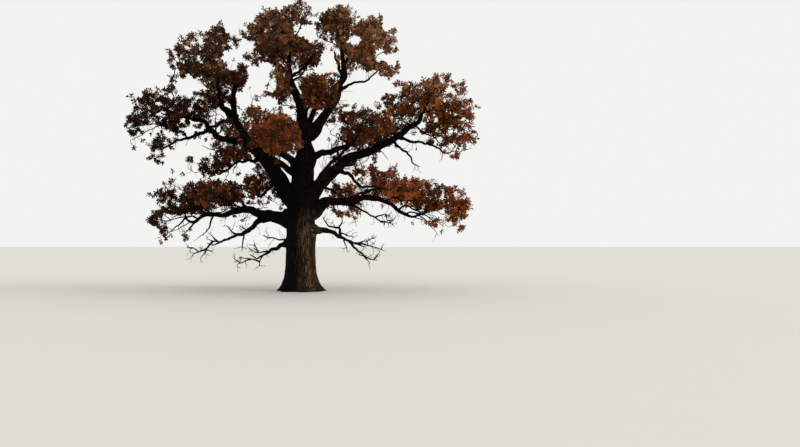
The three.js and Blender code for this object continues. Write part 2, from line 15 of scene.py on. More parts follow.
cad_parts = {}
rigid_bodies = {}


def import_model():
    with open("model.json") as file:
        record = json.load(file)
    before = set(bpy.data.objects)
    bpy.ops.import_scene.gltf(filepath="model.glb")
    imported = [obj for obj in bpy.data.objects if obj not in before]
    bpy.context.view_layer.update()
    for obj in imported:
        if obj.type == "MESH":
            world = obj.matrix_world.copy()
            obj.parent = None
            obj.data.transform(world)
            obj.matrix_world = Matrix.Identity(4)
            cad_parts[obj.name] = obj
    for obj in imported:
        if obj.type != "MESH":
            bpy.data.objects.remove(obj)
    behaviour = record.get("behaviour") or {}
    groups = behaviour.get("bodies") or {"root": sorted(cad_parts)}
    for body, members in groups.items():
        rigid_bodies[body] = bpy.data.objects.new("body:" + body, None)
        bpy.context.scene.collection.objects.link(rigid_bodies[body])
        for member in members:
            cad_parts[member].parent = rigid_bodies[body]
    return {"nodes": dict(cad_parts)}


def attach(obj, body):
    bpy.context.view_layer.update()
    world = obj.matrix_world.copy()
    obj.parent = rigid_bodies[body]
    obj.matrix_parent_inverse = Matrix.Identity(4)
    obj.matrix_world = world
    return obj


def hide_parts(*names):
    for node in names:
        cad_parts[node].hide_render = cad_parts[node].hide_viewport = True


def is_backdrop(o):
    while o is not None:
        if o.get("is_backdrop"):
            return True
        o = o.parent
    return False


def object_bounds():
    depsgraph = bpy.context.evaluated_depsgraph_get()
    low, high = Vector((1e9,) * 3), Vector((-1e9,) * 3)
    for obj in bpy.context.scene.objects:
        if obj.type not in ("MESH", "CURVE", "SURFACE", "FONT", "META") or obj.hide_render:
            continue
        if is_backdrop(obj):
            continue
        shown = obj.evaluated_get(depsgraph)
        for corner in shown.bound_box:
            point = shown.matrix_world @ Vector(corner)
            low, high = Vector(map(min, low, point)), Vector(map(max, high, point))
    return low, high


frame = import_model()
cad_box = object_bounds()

print("packed nodes:", len(frame["nodes"]), "box:", np.round(cad_box, 2).tolist())

# %% [markdown]
# ## The camera
# The tree was seen from a little above eye height, 39 m off and a little to its right. A 35 mm lens
# on a 36 mm sensor gives that view. The camera comes first, because everything else is judged
# through it.
# %% Camera
STANDPOINT = np.array([4.9, -39.0, 2.3])
camera_data = bpy.data.cameras.new("camera")
camera_data.lens = 35
camera_data.sensor_width = 36
camera_data.clip_end = 2000
camera = bpy.data.objects.new("camera", camera_data)
camera.location = STANDPOINT
camera.rotation_euler = (math.radians(91.58), 0, 0)
bpy.context.scene.collection.objects.link(camera)
bpy.context.scene.camera = camera
bpy.context.scene.view_settings.view_transform = "Standard"

# %% [markdown]
# ## Meshes from arrays
# The crown has tens of thousands of small parts. One object for each would choke any program, so
# all the corners of a kind are worked out at once as a table of numbers, and poured into one mesh.
# %% A piece from its corners and faces
MM = 0.001


def unit(vectors):
    return vectors / np.maximum(np.linalg.norm(vectors, axis=-1, keepdims=True), 1e-9)


def make_piece(name, corners, faces, material, smooth=True):
    mesh = bpy.data.meshes.new(name)
    loops = np.concatenate([part.ravel() for part in faces]).astype(np.int32)
    sizes = np.concatenate([np.full(len(part), part.shape[1]) for part in faces])
    starts = (np.cumsum(sizes) - sizes).astype(np.int32)
    mesh.vertices.add(len(corners))
    mesh.vertices.foreach_set("co", np.asarray(corners, np.float32).ravel())
    mesh.loops.add(len(loops))
    mesh.loops.foreach_set("vertex_index", loops)
    mesh.polygons.add(len(sizes))
    mesh.polygons.foreach_set("loop_start", starts)
    mesh.polygons.foreach_set("use_smooth", np.full(len(sizes), smooth))
    mesh.update(calc_edges=True)
    mesh.materials.append(material)
    piece = bpy.data.objects.new(name, mesh)
    bpy.context.scene.collection.objects.link(piece)
    triangles = int((sizes - 2).sum())
    print(f"{name}: {triangles} triangles")
    return piece


# %% [markdown]
# ## The rule of the limbs
# A real oak's limbs wander, because buds die and side shoots take over. Here each limb walks
# forward in short steps while its pitch and heading waver by seeded waves. The numbers are the
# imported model's, so the limbs run through the middle of its solids.
# %% Seeded numbers, headings and routes
UP = np.array([0.0, 0.0, 1.0])
PRIME = 2147483647


def seeded(seed):
    """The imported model's own run of numbers from 0 to 1."""
    state = (seed * 7919 + 104729) % PRIME
    while True:
        state = (state * 16807) % PRIME
        yield state / PRIME


def heading_vector(heading, pitch):
    heading, pitch = np.broadcast_arrays(np.radians(heading), np.radians(pitch))
    run = np.cos(pitch)
    return np.stack([run * np.cos(heading), run * np.sin(heading), np.sin(pitch)], axis=-1)


def along(values, share):
    return np.interp(share, np.linspace(0, 1, len(values)), values)


def way_along(points):
    """How far along a line each of its points lies."""
    return np.concatenate([[0], np.cumsum(np.linalg.norm(np.diff(points, axis=0), axis=1))])


def evenly(points, count):
    """The same line with evenly spaced points."""
    gone = way_along(points)
    wanted = np.linspace(0, gone[-1], count)
    return np.stack([np.interp(wanted, gone, points[:, k]) for k in range(3)], axis=1)


class Route:
    """Evenly spaced points, with a radius that tapers from root to tip."""

    def __init__(self, points, root, tip):
        self.points, self.root, self.tip = np.array(points), root, tip

    def at(self, share):
        place = np.clip(np.asarray(share, float), 0, 1) * (len(self.points) - 1)
        i = np.minimum(place.astype(int), len(self.points) - 2)
        part = (place - i)[..., None]
        return self.points[i] * (1 - part) + self.points[i + 1] * part

    def radius(self, share):
        return self.root + (self.tip - self.root) * np.asarray(share, float)

    def length(self):
        return float(np.linalg.norm(np.diff(self.points, axis=0), axis=1).sum())


# %% The trunk's form
TRUNK = dict(height=5.2, waist=0.71, flare=0.4, flare_height=0.43, shoulder=4.6, lean=-0.075)
ROOTS = np.array([8, 62, 118, 171, 226, 282, 331])  # headings of the root ridges
ROOT_HALF, ROOT_DEPTH = 28, 0.16  # half a ridge's width in degrees, and its height
DOME = 0.92


def trunk_axis(height):
    height = np.asarray(height, float)
    lean = TRUNK["lean"] * (1 - np.exp(-height / TRUNK["flare_height"]))
    return np.stack([lean, np.zeros_like(height), height], axis=-1)


def trunk_radius(height, heading):
    low = np.exp(-height / TRUNK["flare_height"])
    nearest = np.abs((heading[..., None] - ROOTS + 540) % 360 - 180).min(axis=-1)
    ridge = np.cos(np.minimum(nearest / ROOT_HALF, 1) * np.pi)
    over = np.maximum(height - TRUNK["shoulder"], 0) / (TRUNK["height"] - TRUNK["shoulder"])
    domed = np.sqrt(1 - DOME * over * over)
    return (TRUNK["waist"] + TRUNK["flare"] * low) * (1 + ROOT_DEPTH * ridge * np.sqrt(low)) * domed


# %% The limbs
# A limb leaves its parent at a share of its length, or at a height up the trunk. It sets out on one
# heading and turns by the next. Its pitches and radii run from root to tip. Lengths are in mm.
LIMB_FIELDS = ("name", "parent", "at", "headings", "length", "pitch", "radii")
LIMBS = [
    ("left_leader", "trunk", 4250, (184, -8), 7250, (46, 48, 50, 56, 61, 78, 105), (460, 105)),
    ("centre_leader", "trunk", 4250, (182, 0), 8500, (89, 90, 90, 94, 82, 72, 76, 80, 80),
     (560, 80)),
    ("right_bough", "trunk", 4020, (356, 6), 8500, (52, 46, 43, 34, 24, 24, 34, 78), (360, 95)),
    ("right_low_bough", "trunk", 3380, (2, -6), 5850, (48, 34, 14, 12, 12, -20, -34, -20),
     (290, 85)),
    ("left_low_bough", "trunk", 3580, (178, 6), 5400, (-6, -6, 20, 28, -14, -14, -6, -34),
     (270, 75)),
    ("front_bough", "centre_leader", 0.15, (238, -10), 3400, (62, 46, 18, 4, 10), (240, 90)),
    ("front_right_bough", "trunk", 4200, (318, -12), 4400, (48, 40, 30, 26), (240, 85)),
    ("back_left_bough", "trunk", 4200, (137, -12), 5000, (44, 38, 34, 30), (270, 90)),
    ("back_right_bough", "trunk", 4200, (44, 10), 4900, (46, 38, 32, 30), (270, 90)),
    ("left_upper_limb", "left_leader", 0.76, (176, 8), 2900, (34, 48, 66, 80, 92, 96), (160, 72)),
    ("left_bough", "left_leader", 0.58, (190, -14), 3700, (6, 4, 10, 38, 60, 12, -4), (185, 70)),
    ("left_droop_limb", "left_bough", 0.57, (176, 10), 2400, (-4, -22, -24, -12, -20, -34),
     (85, 45)),
    ("left_mid_limb", "left_leader", 0.43, (188, 8), 2300, (-8, -10, -10, -44, -28), (95, 50)),
    ("left_inner_limb", "left_leader", 0.25, (150, -10), 1700, (-30, -46, -28, -10), (100, 60)),
    ("right_stem", "centre_leader", 0.42, (6, 8), 5700, (44, 52, 50, 55, 84, 100, 92, 86),
     (270, 80)),
    ("elbow_limb", "right_stem", 0.5, (352, 10), 2300, (50, 24, -4, 44, 34), (80, 45)),
    ("right_inner_limb", "centre_leader", 0.285, (350, 8), 3400, (12, 4, 28, 18, 8), (170, 75)),
    ("right_drop_limb", "right_bough", 0.33, (12, -10), 2400, (-36, -20, -52, -36, 0, 10),
     (75, 40)),
    ("right_under_limb", "right_bough", 0.74, (4, 6), 2500, (-16, -28, 2, -10, -36, -34), (75, 40)),
    ("left_dead_bough", "left_low_bough", 0.28, (184, -8), 2800, (-6, -38, -38, -24, -22, -28),
     (130, 45)),
    ("left_bare_limb", "trunk", 2420, (184, 6), 2100, (2, -10, -36, -28), (105, 38)),
    ("left_snag", "trunk", 2560, (198, 4), 1950, (2, 0, 2, 26), (60, 24)),
    ("right_bare_bough", "trunk", 2780, (352, 6), 2950, (16, 24, -4, -34, -26, -14), (155, 42)),
    ("right_dead_limb", "right_low_bough", 0.46, (346, 8), 2000, (-34, -24, -34, -28), (80, 36)),
]
LIMBS = [dict(zip(LIMB_FIELDS, row)) for row in LIMBS]

RING_STEP, RING_POINTS = 0.76, 4
CROOK = 7  # degrees that a limb's direction wanders by
# How often each wave turns along a limb, and how strong it is beside the first
SLOW, QUICK, SWAY = (1.6, 1), (3.7, 0.6), (1.3, 1.4)


def wave(form, share, shift):
    turns, strength = form
    return strength * np.sin(2 * np.pi * (turns * share + shift))


def limb_route(spec, start, seed):
    random = seeded(seed)
    slow, quick, sway = next(random), next(random), next(random)
    length = spec["length"] * MM
    steps = max(4, round(length / RING_STEP)) * RING_POINTS
    share = (np.arange(steps) + 0.5) / steps
    wander = CROOK * (wave(SLOW, share, slow) + wave(QUICK, share, quick))
    heading = spec["headings"][0] + spec["headings"][1] * share + CROOK * wave(SWAY, share, sway)
    walk = heading_vector(heading, along(spec["pitch"], share) + wander) * length / steps
    return Route(np.vstack([start, start + np.cumsum(walk, axis=0)]), *np.array(spec["radii"]) * MM)


routes = {}
for index, spec in enumerate(LIMBS):
    from_trunk = spec["parent"] == "trunk"
    start = trunk_axis(spec["at"] * MM) if from_trunk else routes[spec["parent"]].at(spec["at"])
    routes[spec["name"]] = limb_route(spec, start, index + 1)
print("limbs:", len(routes), "metres of limb:", round(sum(r.length() for r in routes.values()), 1))

# %% [markdown]
# ## The masses
# The crown isn't one cloud. Each bough carries its own mass of leaves, with sky between it and the
# next. A mass fills a few egg-shaped lobes and keeps to the space that is nearer to them than to
# any other mass's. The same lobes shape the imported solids, so both crowns have one outline.
# %% The lobes of every mass
def mass(name, carrier, at, *lobes):
    """Lobes are (x, y, z, width, depth, height, clumps) in mm. Bare twigs are masses too."""
    table = np.array(lobes, float)
    shape = dict(middle=table[:, :3] * MM, half=table[:, 3:6] * MM / 2)
    shape["clumps"] = table[:, 6].astype(int)
    return dict(name=name, carrier=carrier, at=at, bare=name.endswith("_twigs"), **shape)


MASSES = [
    mass("far_left_mass", "left_bough", 1,
         (-7300, -300, 8950, 4200, 3800, 2500, 11), (-5150, 250, 9300, 2300, 2900, 1900, 4)),
    mass("left_droop_mass", "left_droop_limb", 1, (-7300, 200, 7100, 1900, 1900, 1600, 5)),
    mass("upper_left_mass", "left_upper_limb", 1,
         (-5150, 0, 11750, 3400, 3700, 2900, 9), (-4150, 300, 12700, 1900, 2500, 1500, 3),
         (-4400, -2600, 11000, 2500, 2400, 2000, 4), (-6600, 300, 10400, 1400, 1900, 1300, 2)),
    mass("left_crook_mass", "left_leader", 1,
         (-3250, 0, 10950, 1400, 1700, 1400, 3), (-4700, 2900, 11500, 2700, 2600, 2200, 5)),
    mass("left_mid_mass", "left_mid_limb", 1, (-4300, -200, 6650, 3100, 3200, 2100, 9)),
    mass("low_left_mass", "left_low_bough", 1,
         (-6200, 0, 4300, 3300, 3400, 2200, 8), (-4150, 200, 4950, 2700, 3000, 1500, 6),
         (-7150, 0, 3350, 1700, 2200, 1400, 3)),
    mass("left_inner_mass", "left_inner_limb", 1, (-2250, 900, 5300, 2200, 2000, 1500, 4)),
    mass("front_left_mass", "front_bough", 1,
         (-1650, -3500, 7650, 3300, 3200, 2200, 8), (-300, -5500, 6950, 2800, 3000, 1900, 6)),
    mass("inner_left_mass", "back_left_bough", 0.75, (-1350, 800, 8250, 2400, 2400, 1900, 6)),
    mass("front_centre_mass", "centre_leader", 0.5,
         (1150, -2600, 9550, 2400, 2700, 1900, 7), (-1100, -900, 10200, 1500, 1900, 2000, 4)),
    mass("top_left_mass", "centre_leader", 0.82,
         (-1950, -100, 12700, 2900, 2900, 3200, 10), (-900, -2700, 12400, 2500, 2500, 2100, 4)),
    mass("top_centre_mass", "centre_leader", 1,
         (-250, 200, 13350, 2600, 2800, 3000, 9), (450, 300, 12000, 1400, 2000, 1400, 3)),
    mass("back_top_mass", "centre_leader", 0.76, (-1400, 3000, 13300, 2900, 2900, 2300, 8)),
    mass("crown_right_mass", "right_stem", 1,
         (1950, 100, 13250, 2500, 2800, 2400, 8), (3100, 3000, 12900, 2700, 2700, 2200, 5)),
    mass("right_shoulder_mass", "right_stem", 0.75,
         (3650, -100, 12450, 2700, 3000, 3000, 9), (3300, -2700, 11700, 2400, 2500, 2000, 5)),
    mass("right_elbow_mass", "elbow_limb", 1, (4050, 100, 11250, 1900, 2000, 1150, 4)),
    mass("right_inner_mass", "right_inner_limb", 1, (3250, -400, 8150, 3100, 3200, 2200, 9)),
    mass("far_right_mass", "right_bough", 1,
         (7050, 200, 9450, 4000, 3800, 3100, 12), (5000, -300, 9600, 2300, 2800, 2000, 5)),
    mass("right_under_mass", "right_under_limb", 1, (7850, 0, 7350, 2100, 2300, 1800, 6)),
    mass("low_right_mass", "right_low_bough", 1,
         (7000, 200, 4350, 3200, 3400, 2400, 9), (5300, -200, 5150, 2800, 3100, 1500, 6)),
    mass("low_right_inner_mass", "right_drop_limb", 1, (3850, 100, 5800, 2200, 2300, 1600, 5)),
    mass("right_trunk_mass", "back_right_bough", 0.35, (1950, 1400, 4650, 2100, 1700, 2100, 5)),
    mass("front_right_mass", "front_right_bough", 1, (3400, -4000, 7850, 2900, 3200, 1900, 9)),
    mass("back_left_mass", "back_left_bough", 1,
         (-3300, 3900, 8000, 3500, 3400, 2500, 8), (-1700, 6100, 8200, 3000, 2800, 2100, 5)),
    mass("back_right_mass", "back_right_bough", 1,
         (3600, 4000, 8300, 3200, 3300, 2500, 8), (1300, 4700, 9800, 2300, 2600, 1700, 4)),
    mass("back_low_left_mass", "left_low_bough", 0.5, (-5200, 4100, 5150, 3100, 3100, 1800, 7)),
    mass("back_low_right_mass", "right_low_bough", 0.45, (5500, 4200, 5300, 3100, 3100, 1800, 7)),
    mass("front_low_left_mass", "left_low_bough", 0.62, (-3900, -4100, 4550, 2600, 2900, 1500, 6)),
    mass("front_low_right_mass", "right_low_bough", 0.55, (5100, -4100, 4750, 2600, 2900, 1400, 6)),
    mass("left_dead_twigs", "left_dead_bough", 1, (-4900, -100, 2350, 2000, 1300, 1000, 6)),
    mass("left_bare_twigs", "left_bare_limb", 1, (-2700, -250, 1780, 1450, 1000, 950, 4)),
    mass("right_bare_twigs", "right_bare_bough", 1, (3350, 0, 2150, 1900, 1300, 1300, 6)),
    mass("right_dead_twigs", "right_dead_limb", 1, (4350, -500, 3450, 1000, 800, 700, 4)),
]
ALL_MIDDLES = np.vstack([spec["middle"] for spec in MASSES])
ALL_HALVES = np.vstack([spec["half"] for spec in MASSES])
FIRST_LOBES = np.cumsum([0] + [len(spec["middle"]) for spec in MASSES[:-1]])


def out_of_lobes(points):
    """How far points lie from every lobe's middle, where 1 is the lobe's surface."""
    return np.linalg.norm((points[:, None] - ALL_MIDDLES) / ALL_HALVES, axis=-1)


def in_space(index, points, margin):
    """Whether points lie in a mass's lobes, and clearly nearer to them than to any other mass's."""
    shares = np.minimum.reduceat(out_of_lobes(points), FIRST_LOBES, axis=1)
    own = shares[:, index].copy()
    shares[:, index] = np.inf
    return (own <= 1) & (shares.min(axis=1) >= own + margin)


print("masses:", len(MASSES), "lobes:", len(ALL_MIDDLES))

# %% [markdown]
# ## Stems, and what twigs keep clear of
# Where a limb ends, a stem carries on into its mass and bends to the lobe's middle. Some masses are
# fed from a limb's side instead. Twigs and leaves are kept clear of the wood by rows of balls along
# every limb and stem: a distance to a ball is far quicker to find than a distance to a mesh.
# %% Stems and clearances
STEM = dict(share=0.85, side=0.08, taper=0.5, lift=0.35, bend=0.45, reach=0.8, points=24)
BALL_STEP = 0.12


def stem_route(spec):
    carrier = routes[spec["carrier"]]
    start, middle = carrier.at(spec["at"]), spec["middle"][0]
    reach = np.linalg.norm(middle - start)
    from_tip = spec["at"] == 1
    sideways = unit(unit(middle - start) + STEM["lift"] * UP)
    onward = unit(carrier.points[-1] - carrier.points[-2]) if from_tip else sideways
    bend = start + onward * STEM["bend"] * reach
    end = start + (middle - start) * STEM["reach"]
    t = np.linspace(0, 1, STEM["points"])[:, None]
    curve = start * (1 - t) ** 2 + bend * 2 * t * (1 - t) + end * t**2
    root = carrier.tip * STEM["share"] if from_tip else STEM["side"]
    return Route(evenly(curve, STEM["points"]), root, STEM["taper"] * root)


stems = [stem_route(spec) for spec in MASSES]


def balls_along(route):
    shares = np.linspace(0, 1, math.ceil(route.length() / BALL_STEP) + 1)
    return np.column_stack([route.at(shares), route.radius(shares)])


trunk_heights = np.linspace(0, TRUNK["height"], math.ceil(TRUNK["height"] / BALL_STEP) + 1)
trunk_radii = trunk_radius(trunk_heights, 0 * trunk_heights)
trunk_balls = np.column_stack([trunk_axis(trunk_heights), trunk_radii])
LIMB_BALLS = np.vstack([trunk_balls] + [balls_along(route) for route in routes.values()])
STEM_BALLS = [balls_along(route) for route in stems]


def blocked(points, room, index=None):
    """Whether points come within some room of the trunk, a limb or another mass's stem."""
    others = [balls for k, balls in enumerate(STEM_BALLS) if index is not None and k != index]
    balls = np.vstack([LIMB_BALLS] + others)
    away = np.linalg.norm(points[:, None] - balls[:, :3], axis=-1)
    return (away < balls[:, 3] + room).any(axis=1)


# %% [markdown]
# ## What shows from the front
# Sky shows through the crown in certain places, and certain lengths of limb stand clear of the
# leaves. A twig, spray or leaf is left out where the line from the standpoint through it meets such
# a place. Places are given on an upright grid of 5 cm squares through the trunk: squares right of
# its foot, and up.
# %% Sky windows
GRID = 0.05
EDGE_STRAYS, EDGE_SCALES = 0.4, (2.5, 7)  # a window's ragged edge
# Middle of an oval, right and up, then its half width and half height
WINDOWS = GRID * np.array([
    (-45, 211, 11, 14), (-36, 190, 10, 7), (-59, 191, 6, 8), (-71, 225, 5, 4), (-118, 207, 12, 7),
    (-85, 178, 9, 6), (-142, 178, 4, 3), (-87, 160, 4, 3), (-107, 143, 18, 8), (-152, 163, 12, 4),
    (25, 233, 9, 8), (5, 261, 9, 7), (-6, 263, 4, 5), (48, 196, 10, 5), (56, 217, 7, 6),
    (68, 201, 16, 7), (20, 159, 6, 8), (16, 123, 8, 9), (43, 113, 11, 6), (61, 101, 7, 4),
    (93, 139, 14, 6), (118, 133, 20, 8), (64, 145, 3, 3), (-17, 115, 4, 8), (-23, 118, 2, 4),
    (-31, 132, 2, 4), (-21, 128, 2, 2), (-9, 132, 3, 3), (-58, 123, 8, 5), (-77, 114, 12, 5),
    (-30, 83, 7, 5), (-34, 99, 3, 4), (122, 155, 10, 3), (128, 141, 16, 6), (53, 253, 8, 5),
    (90, 231, 6, 5), (70, 216, 10, 6), (-138, 213, 4, 4), (118, 74, 14, 6), (136, 77, 8, 4),
    (-117, 69, 22, 8), (-152, 59, 8, 8), (-132, 74, 8, 3), (-181, 186, 9, 12), (175, 197, 6, 11),
    (126, 60, 9, 6), (-114, 124, 8, 6), (-171, 151, 5, 5), (-157, 141, 5, 5), (-135, 138, 5, 6),
    (151, 144, 5, 6), (-75, 267, 5, 8), (91, 202, 7, 4), (44, 182, 6, 3), (-57, 247, 5, 6),
    (-52, 277, 4, 3), (85, 266, 5, 5), (78, 237, 5, 6), (141, 67, 6, 4), (152, 62, 4, 3),
    (-78, 235, 4, 6), (-166, 198, 5, 3), (-17, 186, 4, 5), (-31, 206, 4, 7), (82, 126, 6, 8),
    (83, 80, 5, 4), (-149, 85, 6, 4), (-68, 124, 4, 5), (-106, 132, 4, 4),
])


def on_trunk_plane(points):
    """Where points show on the upright plane through the trunk, right and up."""
    way = points - STANDPOINT
    reach = -STANDPOINT[1] / way[:, 1]
    return STANDPOINT[[0, 2]] + way[:, [0, 2]] * reach[:, None]


def soft_noise(points, scale):
    return np.array([noise.noise(Vector(point) * scale) for point in points])


def in_window(points):
    """Whether points show in a window. Its edge is ragged by a broad and a fine noise."""
    seen = on_trunk_plane(points)
    broad = soft_noise(np.insert(seen, 1, 0, axis=1), EDGE_SCALES[0])
    small = soft_noise(np.insert(seen, 1, 4, axis=1), EDGE_SCALES[1])
    ragged = 1 + EDGE_STRAYS * (broad + small)
    out = np.linalg.norm((seen[:, None] - WINDOWS[:, :2]) / WINDOWS[:, 2:], axis=-1)
    return out.min(axis=1) < ragged


# %% Limbs that show
# Limb, from which share of it to which it stands clear, and by how many metres past its sides
SHOWN = [
    ("left_leader", 0, 0.48, 0.05), ("left_leader", 0.6, 0.9, -0.03),
    ("centre_leader", 0, 0.3, 0.05), ("centre_leader", 0.48, 0.68, -0.02),
    ("centre_leader", 0.84, 0.95, -0.06), ("right_stem", 0, 0.3, 0.02),
    ("right_stem", 0.52, 0.85, -0.02), ("right_bough", 0, 0.93, 0.05),
    ("right_low_bough", 0, 0.85, 0.04), ("left_low_bough", 0, 0.9, 0.04),
    ("left_bough", 0.2, 0.7, 0.03), ("left_droop_limb", 0, 0.85, 0.04),
    ("left_upper_limb", 0, 0.8, -0.02), ("left_mid_limb", 0.35, 1, 0.04),
    ("right_inner_limb", 0.1, 0.75, 0), ("right_drop_limb", 0.1, 0.95, 0.04),
    ("elbow_limb", 0, 1, 0.04), ("right_under_limb", 0.1, 0.85, 0.04), ("front_bough", 0, 0.6, 0),
    ("left_inner_limb", 0, 1, 0.02),
]
LANE_STEP = 0.1
AT_ONCE = 4000  # points tested in one go, to save memory


def lane_spots(route, low, high, margin):
    """Rows of x and z on the trunk's plane, radius there, and depth, along the front of a limb."""
    shares = np.linspace(low, high, int((high - low) * route.length() / LANE_STEP) + 2)
    points = route.at(shares)
    nearer = STANDPOINT[1] / (STANDPOINT[1] - points[:, 1])
    radius = (route.radius(shares) + margin) * nearer
    return np.column_stack([on_trunk_plane(points), radius, points[:, 1]])


lanes = [lane_spots(routes[name], *numbers) for name, *numbers in SHOWN]


def in_lane(points):
    """Whether points stand in front of a limb that shows."""
    found = []
    for part in np.array_split(points, len(points) // AT_ONCE + 1):
        away = np.linalg.norm(on_trunk_plane(part)[:, None] - LANES[:, :2], axis=-1)
        before = part[:, 1, None] < LANES[:, 3]
        found.append(((away < LANES[:, 2]) & before).any(axis=1))
    return np.concatenate(found)


